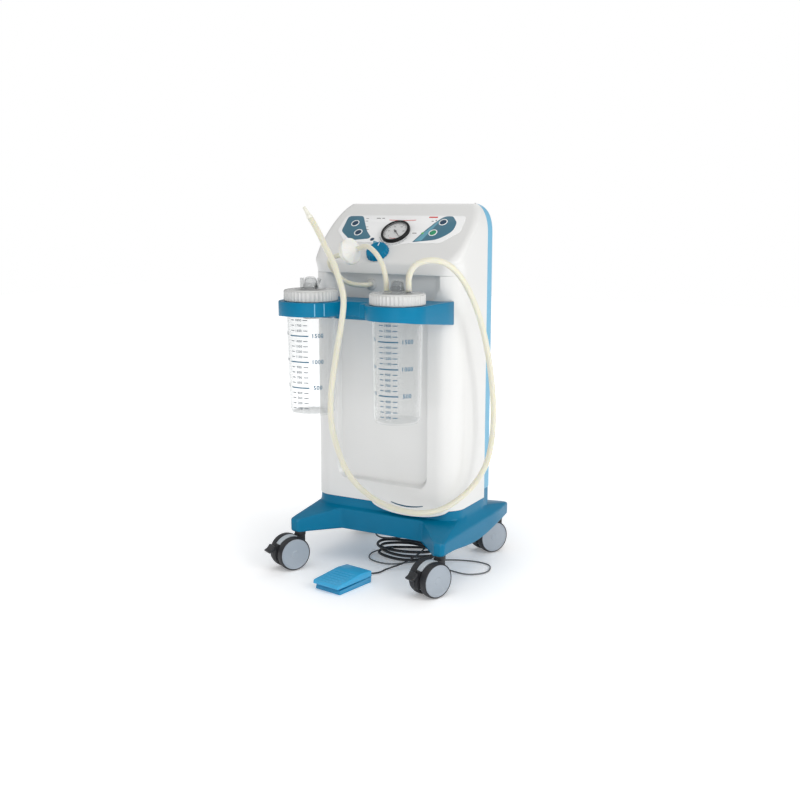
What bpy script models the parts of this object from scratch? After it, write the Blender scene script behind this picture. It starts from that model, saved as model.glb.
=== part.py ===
"""Suction pump on a trolley: housing, panel, jars, tubes, castors and foot switch. Metres, +Z up, front to -Y."""

import math

import bmesh
import bpy
from mathutils import Matrix, Vector

OBJECT_NAME = "suction_pump"

# Driving dimensions
GAP = 0.0003
WALL = 0.003
BODY_HALF_WIDTH = 0.191
BODY_FRONT = -0.097
BODY_SPLIT = 0.058
BODY_REAR = 0.102
BODY_TOP = 0.850
FRONT_SHELL_BOTTOM = 0.165
REAR_SHELL_BOTTOM = 0.186
SHOULDER_Z = 0.785
TOP_HALF_WIDTH = 0.158
FLANK_RADIUS = 0.050
PANEL_EDGE_RADIUS = 0.012
RECESS_Y = -0.085
RECESS_TOP = 0.694
INNER_FRONT = -0.082

BASE_HALF_WIDTH = 0.203
BASE_FRONT_DEPTH = 0.182
BASE_REAR_DEPTH = 0.205
REAR_CORNER_X = 0.192
CROWN_HALF_WIDTH = 0.188
SKIRT_DROP = 0.014
BASE_BOTTOM = 0.088
LEG_TOP = 0.118
VALLEY_HALF_WIDTH = 0.112
VALLEY_FRONT = -0.103
VALLEY_REAR = 0.112

PANEL_RUN = 1.15
PANEL_ORIGIN = Vector((0.0, -0.0264, 0.784))
PANEL_NORMAL = Vector((0.0, -1.0, PANEL_RUN)).normalized()
PANEL_UP = Vector((0.0, PANEL_RUN, 1.0)).normalized()
OVERLAY_THICKNESS = 0.001

JAR_X = {1: -0.112, 2: 0.107}
JAR_Y = -0.212
JAR_TOP = 0.646
JAR_BOTTOM = 0.389
JAR_RADIUS = 0.0555
PORT_SPACING = 0.027
HOLDER_TOP = 0.640
HOLDER_FRONT_BOTTOM = 0.609
HOLDER_WING_BOTTOM = 0.589
HOLDER_RADIUS = {1: 0.0715, 2: 0.069}
WING_HALF_WIDTH = 0.1765

CASTOR_PLACE = {
    "front_left": (-0.186, -0.162),
    "front_right": (0.186, -0.162),
    "rear_left": (-0.170, 0.186),
    "rear_right": (0.170, 0.186),
}
WHEEL_RADIUS = 0.040
WHEEL_WIDTH = 0.021
WHEEL_INNER_FACE = 0.0078
CASTOR_TRAIL = 0.028
CASTOR_TURN = {
    "front_left": math.radians(-27.0),
    "front_right": math.radians(-22.0),
    "rear_left": math.radians(-24.0),
    "rear_right": math.radians(-30.0),
}

# Colour, roughness, metallic
FINISHES = {
    "white_plastic": ((0.80, 0.80, 0.79), 0.38, 0.0),
    "pale_blue_plastic": ((0.19, 0.45, 0.62), 0.40, 0.0),
    "blue_plastic": ((0.010, 0.150, 0.340), 0.42, 0.0),
    "teal_button": ((0.02, 0.07, 0.14), 0.35, 0.0),
    "green_button": ((0.02, 0.22, 0.10), 0.30, 0.0),
    "black_plastic": ((0.012, 0.012, 0.014), 0.45, 0.0),
    "grey_plastic": ((0.55, 0.56, 0.57), 0.40, 0.0),
    "disc_grey": ((0.35, 0.37, 0.41), 0.45, 0.0),
    "clear_plastic": ((0.85, 0.88, 0.90), 0.08, 0.0),
    "silicone": ((0.78, 0.75, 0.58), 0.45, 0.0),
    "foot_blue": ((0.05, 0.38, 0.66), 0.42, 0.0),
    "steel": ((0.55, 0.56, 0.58), 0.32, 1.0),
    "cast_metal": ((0.33, 0.34, 0.36), 0.50, 1.0),
    "board_green": ((0.02, 0.16, 0.07), 0.50, 0.0),
    "dial_white": ((0.88, 0.88, 0.86), 0.50, 0.0),
}

for leftover in list(bpy.data.objects):
    bpy.data.objects.remove(leftover, do_unlink=True)

parts = bpy.data.collections.new(OBJECT_NAME)
cutters = bpy.data.collections.new("cutters")
bpy.context.scene.collection.children.link(parts)
bpy.context.scene.collection.children.link(cutters)


def make_material(name):
    colour, roughness, metallic = FINISHES[name]
    material = bpy.data.materials.new(name)
    material.use_nodes = True
    shader = material.node_tree.nodes["Principled BSDF"]
    shader.inputs["Base Color"].default_value = (*colour, 1.0)
    shader.inputs["Roughness"].default_value = roughness
    shader.inputs["Metallic"].default_value = metallic
    return material


materials = {name: make_material(name) for name in FINISHES}


def add_object(name, data, finish=None):
    """Links a part under its finish, or a guide solid when no finish is given."""
    obj = bpy.data.objects.new(name, data)
    if finish is None:
        cutters.objects.link(obj)
        obj.hide_render = True
        obj.display_type = "WIRE"
    else:
        parts.objects.link(obj)
        data.materials.append(materials[finish])
    return obj


def mesh_from(bm, name, smooth_angle=math.radians(35.0)):
    bmesh.ops.recalc_face_normals(bm, faces=bm.faces)
    mesh = bpy.data.meshes.new(name)
    bm.to_mesh(mesh)
    bm.free()
    mesh.shade_smooth()
    mesh.set_sharp_from_angle(angle=smooth_angle)
    return mesh


def box(name, low, high, finish=None, bevel=0.0, segments=2):
    """An upright box between two corners, its origin at its middle."""
    low = Vector(low)
    high = Vector(high)
    bm = bmesh.new()
    bmesh.ops.create_cube(bm, size=1.0)
    bmesh.ops.scale(bm, vec=high - low, verts=bm.verts)
    obj = add_object(name, mesh_from(bm, name), finish)
    obj.location = (low + high) / 2.0
    if bevel > 0.0:
        modifier = obj.modifiers.new("edges", "BEVEL")
        modifier.width = bevel
        modifier.segments = segments
    return obj


def cylinder(name, start, end, radius, finish=None, segments=24):
    """A round bar from start to end, its origin at its middle."""
    start = Vector(start)
    end = Vector(end)
    span = end - start
    bm = bmesh.new()
    bmesh.ops.create_cone(
        bm, cap_ends=True, cap_tris=False, segments=segments, radius1=radius, radius2=radius, depth=span.length
    )
    obj = add_object(name, mesh_from(bm, name), finish)
    obj.matrix_world = Matrix.Translation((start + end) / 2.0) @ span.to_track_quat("Z", "Y").to_matrix().to_4x4()
    return obj


def rod_on(place, name, low, high, radius, finish=None, segments=12):
    """A round bar along a place's own Z axis, between two heights."""
    return cylinder(name, place @ Vector((0.0, 0.0, low)), place @ Vector((0.0, 0.0, high)), radius, finish, segments)


def turned(name, profile, finish=None, steps=32, closed=False, matrix=None):
    """A profile of (radius, height) points turned about its own Z axis."""
    mesh = bpy.data.meshes.new(name)
    points = [(radius, 0.0, height) for radius, height in profile]
    edges = [(index, index + 1) for index in range(len(points) - 1)]
    if closed:
        edges.append((len(points) - 1, 0))
    mesh.from_pydata(points, edges, [])
    obj = add_object(name, mesh, finish)
    screw = obj.modifiers.new("turn", "SCREW")
    screw.steps = steps
    screw.render_steps = steps
    screw.use_merge_vertices = True
    screw.merge_threshold = 0.00001
    screw.use_smooth_shade = True
    if matrix is not None:
        obj.matrix_world = matrix
    return obj


def frozen(curve_object, name, finish):
    """Turns a curve object into a closed mesh object at the same place."""
    bpy.context.view_layer.update()
    depsgraph = bpy.context.evaluated_depsgraph_get()
    mesh = bpy.data.meshes.new_from_object(curve_object.evaluated_get(depsgraph))
    mesh.materials.clear()
    place = curve_object.matrix_world.copy()
    bpy.data.objects.remove(curve_object, do_unlink=True)
    bm = bmesh.new()
    bm.from_mesh(mesh)
    bmesh.ops.remove_doubles(bm, verts=bm.verts, dist=0.000005)
    obj = add_object(name, mesh_from(bm, name), finish)
    obj.matrix_world = place
    return obj


def plate(name, outlines, thickness, finish=None, matrix=None):
    """A flat outline, with any hole outlines after it, filled in local XY and centred on local Z."""
    curve = bpy.data.curves.new(name, "CURVE")
    curve.dimensions = "2D"
    curve.fill_mode = "BOTH"
    curve.extrude = thickness / 2.0
    for outline in outlines:
        spline = curve.splines.new("POLY")
        spline.points.add(len(outline) - 1)
        for point, (x, y) in zip(spline.points, outline):
            point.co = (x, y, 0.0, 1.0)
        spline.use_cyclic_u = True
    drawing = bpy.data.objects.new(name + "_outline", curve)
    parts.objects.link(drawing)
    if matrix is not None:
        drawing.matrix_world = matrix
    return frozen(drawing, name, finish)


def smooth_path(points, steps):
    """A Catmull-Rom path through the points, with this many steps between neighbours."""
    corners = [Vector(point) for point in points]
    corners = [corners[0] * 2.0 - corners[1], *corners, corners[-1] * 2.0 - corners[-2]]
    path = []
    for index in range(1, len(corners) - 2):
        before, here, there, after = corners[index - 1 : index + 3]
        for step in range(steps):
            t = step / steps
            path.append(
                0.5
                * (
                    2.0 * here
                    + (there - before) * t
                    + (2.0 * before - 5.0 * here + 4.0 * there - after) * t**2
                    + (3.0 * here - before - 3.0 * there + after) * t**3
                )
            )
    path.append(corners[-2])
    return path


def tube(name, path, radius, finish, roundness=2):
    """A round bar along a path, with closed ends."""
    curve = bpy.data.curves.new(name, "CURVE")
    curve.dimensions = "3D"
    curve.bevel_depth = radius
    curve.bevel_resolution = roundness
    curve.use_fill_caps = True
    curve.twist_mode = "MINIMUM"
    spline = curve.splines.new("POLY")
    spline.points.add(len(path) - 1)
    for point, place in zip(spline.points, path):
        point.co = (*place, 1.0)
    drawing = bpy.data.objects.new(name + "_path", curve)
    parts.objects.link(drawing)
    return frozen(drawing, name, finish)


def loft(name, rings, finish=None):
    """A closed solid through rings that all have the same number of points."""
    bm = bmesh.new()
    rows = [[bm.verts.new(point) for point in ring] for ring in rings]
    count = len(rings[0])
    for below, above in zip(rows, rows[1:]):
        for index in range(count):
            following = (index + 1) % count
            bm.faces.new((below[index], below[following], above[following], above[index]))
    bm.faces.new(rows[0])
    bm.faces.new(rows[-1])
    return add_object(name, mesh_from(bm, name), finish)


def combine(target, others, operation):
    """Cuts the others from the target, or joins them to it."""
    for other in others:
        modifier = target.modifiers.new(other.name, "BOOLEAN")
        modifier.operation = operation
        modifier.object = other
    return target


# Stands a flat drawing up: its X runs along Y, its Y along Z, and its thickness along X.
SIDEWAYS = Matrix(((0, 0, 1, 0), (1, 0, 0, 0), (0, 1, 0, 0), (0, 0, 0, 1)))


def arc(centre, radius, start, end, count):
    """Points on a circle from the start angle to the end angle, in degrees."""
    angles = [math.radians(start + (end - start) * index / count) for index in range(count + 1)]
    return [(centre[0] + radius * math.cos(angle), centre[1] + radius * math.sin(angle)) for angle in angles]


def circle(centre, radius, count=24):
    return arc(centre, radius, 0.0, 360.0, count)[:-1]


def on_panel(x, up, out=0.0):
    """The matrix of a place on the tilted panel: local X to the right, Y up the slope, Z out of it."""
    matrix = Matrix((Vector((1.0, 0.0, 0.0)), PANEL_UP, PANEL_NORMAL)).transposed().to_4x4()
    matrix.translation = PANEL_ORIGIN + Vector((x, 0.0, 0.0)) + PANEL_UP * up + PANEL_NORMAL * out
    return matrix


# Housing


def panel_y(z):
    """Where the tilted panel's plane is at a height."""
    return PANEL_ORIGIN.y + PANEL_RUN * (z - PANEL_ORIGIN.z)


def half_width(z):
    """The housing's half width, drawn in towards its rounded top corners."""
    rise = max(0.0, (z - SHOULDER_Z) / (BODY_TOP - SHOULDER_Z))
    return TOP_HALF_WIDTH + (BODY_HALF_WIDTH - TOP_HALF_WIDTH) * math.sqrt(max(0.0, 1.0 - rise**2))


def front_y(z):
    """The housing's front: upright below, then the panel's slope, then a rounded crest."""
    slope = max(BODY_FRONT, panel_y(z))
    crest = BODY_SPLIT - 0.006
    return min(slope, crest)


def flank_radius(z):
    """The plan radius of the front corners, which tightens where the panel begins."""
    fade = min(1.0, max(0.0, (z - 0.690) / 0.070))
    return FLANK_RADIUS + (PANEL_EDGE_RADIUS - FLANK_RADIUS) * fade


def section(z, width, open_y, closed_y, radius):
    """A level ring, square at open_y and with two rounded corners at closed_y."""
    side = math.copysign(1.0, closed_y - open_y)
    radius = max(0.001, min(radius, abs(closed_y - open_y) - 0.001))
    ring = [(-width, open_y, z)]
    for corner, start in ((-1.0, 180.0), (1.0, 90.0)):
        for index in range(7):
            angle = math.radians(start - 90.0 * index / 6.0)
            x = corner * (width - radius) + radius * math.cos(angle)
            y = closed_y - side * radius + side * radius * math.sin(angle)
            ring.append((x, y, z))
    ring.append((width, open_y, z))
    return ring


FRONT_LEVELS = (0.165, 0.40, 0.68, 0.70, 0.712, 0.7226, 0.738, 0.76, 0.785, 0.80, 0.815, 0.828, 0.838, 0.846, 0.850)


def front_solid(name, grow=0.0):
    """The white housing's outer form; grow makes it larger all round."""
    rings = []
    for z in FRONT_LEVELS:
        width = half_width(z) + grow
        rings.append(section(z, width, BODY_SPLIT, front_y(z) - grow, flank_radius(z)))
    return loft(name, rings)


def front_hollow():
    rings = []
    for z in FRONT_LEVELS:
        inside_y = max(INNER_FRONT, front_y(z) + WALL * 1.53)
        level = min(z, BODY_TOP - WALL)
        if z == FRONT_LEVELS[0]:
            level = 0.120
        inside_y = min(inside_y, BODY_SPLIT + 0.006)
        rings.append(section(level, half_width(z) - WALL, BODY_SPLIT + 0.010, inside_y, flank_radius(z) - WALL))
    del rings[-2]
    return loft("front_hollow", rings)


def recess_cutter():
    """The shallow bay behind the jars: narrow below, widening under the chin."""
    low = 0.212
    half = 0.119
    radius = 0.024
    outline = [(0.152, RECESS_TOP), (-0.152, RECESS_TOP), (-0.152, 0.672), (-half, 0.600)]
    outline += arc((-half + radius, low + radius), radius, 180.0, 270.0, 5)
    outline += arc((half - radius, low + radius), radius, 270.0, 360.0, 5)
    outline += [(half, 0.600), (0.152, 0.672)]
    depth = 0.060
    stand = Matrix(((1, 0, 0, 0), (0, 0, -1, RECESS_Y - depth / 2.0), (0, 1, 0, 0), (0, 0, 0, 1)))
    return plate("recess_cutter", [outline], depth, None, stand)


def belly_slot():
    """The crescent-shaped finger slot under the belly's widest part."""
    upper = arc((0.066, 0.315), 0.1480, 255.0, 288.0, 6)
    lower = arc((0.070, 0.262), 0.1010, 294.0, 247.0, 6)
    depth = 0.020
    stand = Matrix(((1, 0, 0, 0), (0, 0, -1, -0.1035 - depth / 2.0), (0, 1, 0, 0), (0, 0, 0, 1)))
    return plate("belly_slot", [upper + lower], depth, None, stand)


def belly():
    """The rounded bulge low on the front, which hangs below the shell's edge."""
    bm = bmesh.new()
    bmesh.ops.create_uvsphere(bm, u_segments=20, v_segments=8, radius=1.0)
    bmesh.ops.rotate(bm, matrix=Matrix.Rotation(math.radians(90.0), 3, "X"), verts=bm.verts)
    bmesh.ops.scale(bm, vec=(0.104, 0.017, 0.041), verts=bm.verts)
    obj = add_object("belly", mesh_from(bm, "belly"))
    obj.location = (0.072, -0.0925, 0.188)
    return obj


BUTTONS = {
    "left_button_upper": (-0.122, 0.030, 0.0078, "teal_button"),
    "left_button_lower": (-0.100, -0.001, 0.0078, "teal_button"),
    "right_button": (0.107, 0.036, 0.0078, "teal_button"),
    "power_button": (0.0945, 0.001, 0.0078, "green_button"),
}
LAMPS = {
    "left_indicator": (-0.053, -0.023, 0.0050, "teal_button"),
    "green_lamp": (0.069, -0.001, 0.0035, "green_button"),
}
KNOB_PLACE = (-0.018, -0.068)
KNOB_RADIUS = 0.0265
PORT_PLACE = Vector((-0.031, RECESS_Y, 0.670))


def panel_holes(prefix):
    """Round cutters for the gauge, the buttons and the lamps."""
    holes = []
    places = {"gauge": (0.0, 0.0, 0.0302)}
    for group in (BUTTONS, LAMPS):
        for name, (x, up, radius, _finish) in group.items():
            places[name] = (x, up, radius)
    for name, (x, up, radius) in places.items():
        segments = 28 if name == "gauge" else 14
        hole = rod_on(on_panel(x, up), f"{prefix}_{name}_hole", -0.020, 0.010, radius + GAP, segments=segments)
        holes.append(hole)
    return holes


def front_shell():
    shell = front_solid("front_shell_form")
    shell.name = "front_shell"
    cutters.objects.unlink(shell)
    parts.objects.link(shell)
    shell.hide_render = False
    shell.display_type = "TEXTURED"
    shell.data.materials.append(materials["white_plastic"])
    combine(shell, [belly()], "UNION")
    knob_axis = on_panel(*KNOB_PLACE)
    riser_space = box("riser_space", (-0.060, -0.0938, 0.130), (0.190, -0.060, 0.1652))
    knob_hole = rod_on(knob_axis, "knob_hole", -0.060, 0.010, 0.0036)
    reach = Vector((0.0, 0.010, 0.0))
    port_hole = cylinder("port_hole", PORT_PLACE - reach, PORT_PLACE + reach, 0.0083, segments=16)
    tools = [front_hollow(), recess_cutter(), belly_slot(), riser_space, knob_hole, port_hole, *panel_holes("shell")]
    return combine(shell, tools, "DIFFERENCE")


def rear_back_y(z):
    drop = max(0.0, (z - 0.815) / (BODY_TOP - 0.815))
    return BODY_REAR - 0.026 * (1.0 - math.sqrt(max(0.0, 1.0 - drop**2)))


def rear_shell():
    levels = (REAR_SHELL_BOTTOM, 0.785, 0.800, 0.815, 0.828, 0.838, 0.846, BODY_TOP)
    outer = []
    inner = []
    for z in levels:
        outer.append(section(z, half_width(z), BODY_SPLIT + GAP, rear_back_y(z), 0.024))
        level = z - WALL
        back = rear_back_y(z) - WALL
        inner.append(section(level, half_width(z) - WALL, BODY_SPLIT - 0.010, back, 0.021))
    shell = loft("rear_shell", outer, "pale_blue_plastic")
    tools = [loft("rear_hollow", inner)]
    for row in range(6):
        z = 0.600 + 0.016 * row
        tools.append(box(f"vent_{row}", (-0.070, 0.090, z), (0.070, 0.115, z + 0.006)))
    tools.append(box("socket_window", (0.0547, 0.085, 0.2247), (0.1053, 0.115, 0.2553)))
    return combine(shell, tools, "DIFFERENCE")


def skirt(name, side):
    """The side wall's lower edge, which sags between the castors."""
    front, rear = -0.118, 0.122
    steps = 10
    sag = []
    for index in range(steps + 1):
        share = index / steps
        sag.append((front + (rear - front) * share, BASE_BOTTOM + 0.002 - SKIRT_DROP * math.sin(math.pi * share)))
    outline = [*sag, (rear, 0.104), (front, 0.104)]
    thickness = 0.006
    stand = Matrix.Translation((side * (BASE_HALF_WIDTH - thickness / 2.0 - 0.0006), 0.0, 0.0)) @ SIDEWAYS
    return plate(name, [outline], thickness, None, stand)


def base_moulding():
    """Four legs, straight at the sides, with a valley at the front and at the rear."""

    def quarter(front, depth_sign):
        valley = VALLEY_FRONT if front else VALLEY_REAR
        riser = 0.093 if front else 0.100
        depth = BASE_FRONT_DEPTH if front else BASE_REAR_DEPTH
        corner_x = BASE_HALF_WIDTH if front else REAR_CORNER_X
        wall = [
            (0.0, valley, 0.137),
            (VALLEY_HALF_WIDTH * 0.6, valley, 0.137),
            (VALLEY_HALF_WIDTH, valley, 0.137),
            (corner_x - 0.055, depth_sign * (depth - 0.0395), 0.127),
            (corner_x - 0.020, depth_sign * depth, LEG_TOP),
            (corner_x - 0.007, depth_sign * (depth - 0.001), LEG_TOP),
            (corner_x, depth_sign * (depth - 0.008), LEG_TOP),
            (BASE_HALF_WIDTH, depth_sign * 0.120, LEG_TOP),
            (BASE_HALF_WIDTH, depth_sign * 0.060, LEG_TOP),
        ]
        crown = [
            (0.0, riser),
            (VALLEY_HALF_WIDTH * 0.6, riser),
            (CROWN_HALF_WIDTH - 0.064, riser),
            (CROWN_HALF_WIDTH - 0.037, riser - 0.001),
            (CROWN_HALF_WIDTH - 0.022, riser - 0.006),
            (CROWN_HALF_WIDTH - 0.012, riser - 0.013),
            (CROWN_HALF_WIDTH - 0.004, riser - 0.024),
            (CROWN_HALF_WIDTH - 0.0005, riser - 0.036),
            (CROWN_HALF_WIDTH, riser - 0.055),
        ]
        crown = [(x, depth_sign * y) for x, y in crown]
        return wall, crown

    front_wall, front_crown = quarter(True, -1.0)
    rear_wall, rear_crown = quarter(False, 1.0)
    right_wall = [*front_wall, (BASE_HALF_WIDTH, 0.0, LEG_TOP), *reversed(rear_wall)]
    right_crown = [*front_crown, (CROWN_HALF_WIDTH, 0.0), *reversed(rear_crown)]
    wall = right_wall + [(-x, y, z) for x, y, z in reversed(right_wall[1:-1])]
    crown = right_crown + [(-x, y) for x, y in reversed(right_crown[1:-1])]
    riser_top = FRONT_SHELL_BOTTOM - GAP
    rings = [
        [(x * 0.985, y * 0.985, BASE_BOTTOM) for x, y, _z in wall],
        [(x, y, BASE_BOTTOM + 0.004) for x, y, _z in wall],
        wall,
        [(x * 1.012, y * 1.003, 0.1420) for x, y in crown],
        [(x, y, riser_top) for x, y in crown],
    ]
    base = loft("base_moulding", rings, "blue_plastic")
    riser_low = (-CROWN_HALF_WIDTH, BODY_SPLIT + 2 * GAP, 0.140)
    riser_high = (CROWN_HALF_WIDTH, 0.1, REAR_SHELL_BOTTOM - GAP)
    extras = [box("rear_riser", riser_low, riser_high, bevel=0.016)]
    for side in (-1.0, 1.0):
        extras.append(skirt(f"skirt_{side:+.0f}", side))
    combine(base, extras, "UNION")
    tools = []
    for name, (x, y) in CASTOR_PLACE.items():
        tools.append(cylinder(f"stem_hole_{name}", (x, y, 0.080), (x, y, 0.108), 0.0058, segments=12))
    tools.append(box("underside_pocket", (-0.100, -0.085, 0.080), (0.100, 0.090, 0.120)))
    return combine(base, tools, "DIFFERENCE")


# Control panel


def control_panel():
    """The printed overlay that carries the gauge and the buttons."""
    outline = [(-0.156, 0.062), (-0.160, 0.010), (-0.125, -0.030)]
    outline += arc((0.0, 0.0), 0.0455, 235.0, 305.0, 8)
    outline += [(0.125, -0.030), (0.160, 0.010), (0.156, 0.062)]
    overlay = plate("control_panel", [outline], OVERLAY_THICKNESS, "white_plastic")
    overlay.matrix_world = on_panel(0.0, 0.0, GAP + OVERLAY_THICKNESS / 2.0)
    knob_axis = on_panel(*KNOB_PLACE)
    knob_clearance = rod_on(knob_axis, "knob_clearance", -0.010, 0.010, KNOB_RADIUS + 0.002, segments=24)
    return combine(overlay, [*panel_holes("overlay"), knob_clearance], "DIFFERENCE")


def gauge():
    seat = GAP * 2.0 + OVERLAY_THICKNESS
    case = [
        (0.0, 0.002),
        (0.0310, 0.002),
        (0.0310, 0.0095),
        (0.0343, 0.0095),
        (0.0348, 0.0078),
        (0.0348, seat),
        (0.0300, seat),
        (0.0300, -0.028),
        (0.0, -0.028),
    ]
    turned("gauge_case", case, "black_plastic", matrix=on_panel(0.0, 0.0))
    dial = [(0.0, 0.0034), (0.0306, 0.0034), (0.0306, 0.0023), (0.0, 0.0023)]
    turned("gauge_dial", dial, "dial_white", matrix=on_panel(0.0, 0.0))
    lens = [(0.0, 0.0090), (0.0300, 0.0086), (0.0306, 0.0080), (0.0306, 0.0072), (0.0, 0.0072)]
    turned("gauge_lens", lens, "clear_plastic", matrix=on_panel(0.0, 0.0))
    pointer = [(0.0, 0.0235), (-0.0014, 0.0), (-0.0018, -0.008), (0.0018, -0.008), (0.0014, 0.0)]
    place = on_panel(0.0, 0.0, 0.0054) @ Matrix.Rotation(math.radians(-135.0), 4, "Z")
    needle = plate("gauge_needle", [pointer], 0.0008, "black_plastic")
    needle.matrix_world = place
    hub = rod_on(place, "needle_hub", -0.0014, 0.0014, 0.0026)
    combine(needle, [hub], "UNION")


def buttons():
    for name, (x, up, radius, finish) in BUTTONS.items():
        profile = [(0.0, 0.0036), (radius - 0.001, 0.0034), (radius, 0.0026), (radius, -0.0040), (0.0, -0.0040)]
        turned(name, profile, finish, steps=14, matrix=on_panel(x, up))
    for name, (x, up, radius, finish) in LAMPS.items():
        profile = [(0.0, 0.0026), (radius * 0.7, 0.0022), (radius, 0.0014), (radius, -0.0030), (0.0, -0.0030)]
        turned(name, profile, finish, steps=14, matrix=on_panel(x, up))


def regulator():
    """The fluted knob, its spindle, and the valve behind the panel."""
    flutes = 12
    outline = []
    for index in range(flutes * 4):
        angle = 2.0 * math.pi * index / (flutes * 4)
        radius = KNOB_RADIUS + 0.0009 * math.cos(flutes * angle)
        outline.append((radius * math.cos(angle), radius * math.sin(angle)))
    rings = []
    for height, scale in ((0.0012, 1.0), (0.0100, 0.94), (0.0130, 0.88), (0.0142, 0.78)):
        rings.append([(x * scale, y * scale, height) for x, y in outline])
    knob = loft("regulator_knob", rings, "blue_plastic")
    knob.matrix_world = on_panel(*KNOB_PLACE)
    axis = on_panel(*KNOB_PLACE)
    spindle = rod_on(axis, "knob_spindle", -0.048, 0.010, 0.0030)
    combine(knob, [spindle], "UNION")
    valve = [(0.0, -0.050), (0.0036, -0.050), (0.0036, -0.040), (0.016, -0.040), (0.016, -0.064), (0.0, -0.064)]
    turned("regulator_valve", valve, "steel", steps=20, matrix=on_panel(*KNOB_PLACE))


# Jars


def jar_holder():
    """Two rings on a bridge whose wings hug the housing's front corners."""
    right = [(WING_HALF_WIDTH - 0.001, -0.060), (WING_HALF_WIDTH, -0.110), (WING_HALF_WIDTH, -0.150)]
    right += arc((JAR_X[2], JAR_Y), HOLDER_RADIUS[2], 4.0, -192.0, 28)
    left = [(-WING_HALF_WIDTH + 0.001, -0.060), (-WING_HALF_WIDTH, -0.110), (-WING_HALF_WIDTH - 0.003, -0.150)]
    left += arc((JAR_X[1], JAR_Y), HOLDER_RADIUS[1], 168.0, 372.0, 28)
    outline = right + left[::-1]
    height = HOLDER_TOP - HOLDER_FRONT_BOTTOM
    flat = Matrix.Translation((0.0, 0.0, (HOLDER_TOP + HOLDER_FRONT_BOTTOM) / 2.0))
    holder = plate("jar_holder", [outline], height, "blue_plastic", flat)
    back_low = (-WING_HALF_WIDTH + 0.0002, -0.1080, HOLDER_WING_BOTTOM)
    back_high = (WING_HALF_WIDTH - 0.0002, -0.060, HOLDER_TOP - 0.0001)
    back = box("holder_back", back_low, back_high)
    parts = [back]
    flank = [(-0.200, HOLDER_FRONT_BOTTOM + 0.0002), (-0.200, HOLDER_TOP - 0.004), (-0.070, HOLDER_TOP - 0.004)]
    flank += [(-0.070, HOLDER_WING_BOTTOM + 0.0002), (-0.1075, HOLDER_WING_BOTTOM + 0.0002)]
    for side in (-1.0, 1.0):
        stand = Matrix.Translation((side * (WING_HALF_WIDTH - 0.0052), 0.0, 0.0)) @ SIDEWAYS
        parts.append(plate(f"holder_flank_{side:+.0f}", [flank], 0.0098, None, stand))
    combine(holder, parts, "UNION")
    tools = [front_solid("holder_relief", grow=0.0004)]
    for number, x in JAR_X.items():
        tools.append(cylinder(f"jar_hole_{number}", (x, JAR_Y, 0.58), (x, JAR_Y, 0.66), 0.0575))
        near, far = sorted((math.copysign(0.030, x), math.copysign(0.160, x)))
        tools.append(box(f"holder_pocket_{number}", (near, -0.138, 0.56), (far, -0.112, HOLDER_TOP - WALL)))
    return combine(holder, tools, "DIFFERENCE")


def jar_set(number):
    """A jar with its knurled lid ring, clear cap with two ports, and float."""
    x = JAR_X[number]
    stand = Matrix.Translation((x, JAR_Y, 0.0))
    jar = [
        (0.0, JAR_BOTTOM + 0.0035),
        (0.0480, JAR_BOTTOM + 0.0035),
        (0.0528, HOLDER_TOP),
        (0.0528, JAR_TOP),
        (0.0590, JAR_TOP),
        (0.0590, HOLDER_TOP + GAP),
        (JAR_RADIUS, HOLDER_TOP + GAP),
        (0.0510, JAR_BOTTOM + 0.003),
        (0.0480, JAR_BOTTOM),
        (0.0, JAR_BOTTOM),
    ]
    turned(f"jar_{number}", jar, "clear_plastic", steps=28, matrix=stand)
    ring_bottom = JAR_TOP + GAP
    ring_top = 0.665
    ring = [
        (0.0, ring_top),
        (0.0580, ring_top),
        (0.0600, ring_top - 0.002),
        (0.0600, ring_bottom),
        (0.0180, ring_bottom),
        (0.0180, 0.600),
        (0.0155, 0.600),
        (0.0155, 0.650),
        (0.0, 0.650),
    ]
    turned(f"lid_ring_{number}", ring, "grey_plastic", steps=28, matrix=stand)
    cap_bottom = ring_top + GAP
    cap = [
        (0.0, 0.693),
        (0.009, 0.692),
        (0.0135, 0.688),
        (0.0165, 0.6690),
        (0.0340, 0.6680),
        (0.0340, cap_bottom),
        (0.0, cap_bottom),
    ]
    lid_cap = turned(f"lid_cap_{number}", cap, "clear_plastic", steps=18, matrix=stand)
    spigots = []
    for side in (-1.0, 1.0):
        port_x = x + side * PORT_SPACING
        name = f"spigot_{number}_{side:+.0f}"
        spigots.append(cylinder(name, (port_x, JAR_Y, 0.667), (port_x, JAR_Y, 0.674), 0.0048, segments=8))
    combine(lid_cap, spigots, "UNION")
    float_body = [(0.0, 0.640), (0.009, 0.640), (0.0125, 0.636), (0.0125, 0.612), (0.010, 0.608), (0.0, 0.608)]
    turned(f"float_{number}", float_body, "white_plastic", steps=12, matrix=stand)


# Tubes


def wall_port():
    """A spigot that faces the jars from under the chin."""
    turn = Matrix.Translation(PORT_PLACE) @ Matrix.Rotation(math.radians(90.0), 4, "X")
    profile = [
        (0.0, 0.0120),
        (0.0042, 0.0120),
        (0.0048, 0.0040),
        (0.0130, 0.0040),
        (0.0130, GAP),
        (0.0080, GAP),
        (0.0080, -0.0120),
        (0.0, -0.0120),
    ]
    turned("vacuum_port", profile, "grey_plastic", steps=20, matrix=turn)


FILTER_START = Vector((-0.070, -0.162, 0.737))
FILTER_END = Vector((0.000, -0.180, 0.757))


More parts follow.
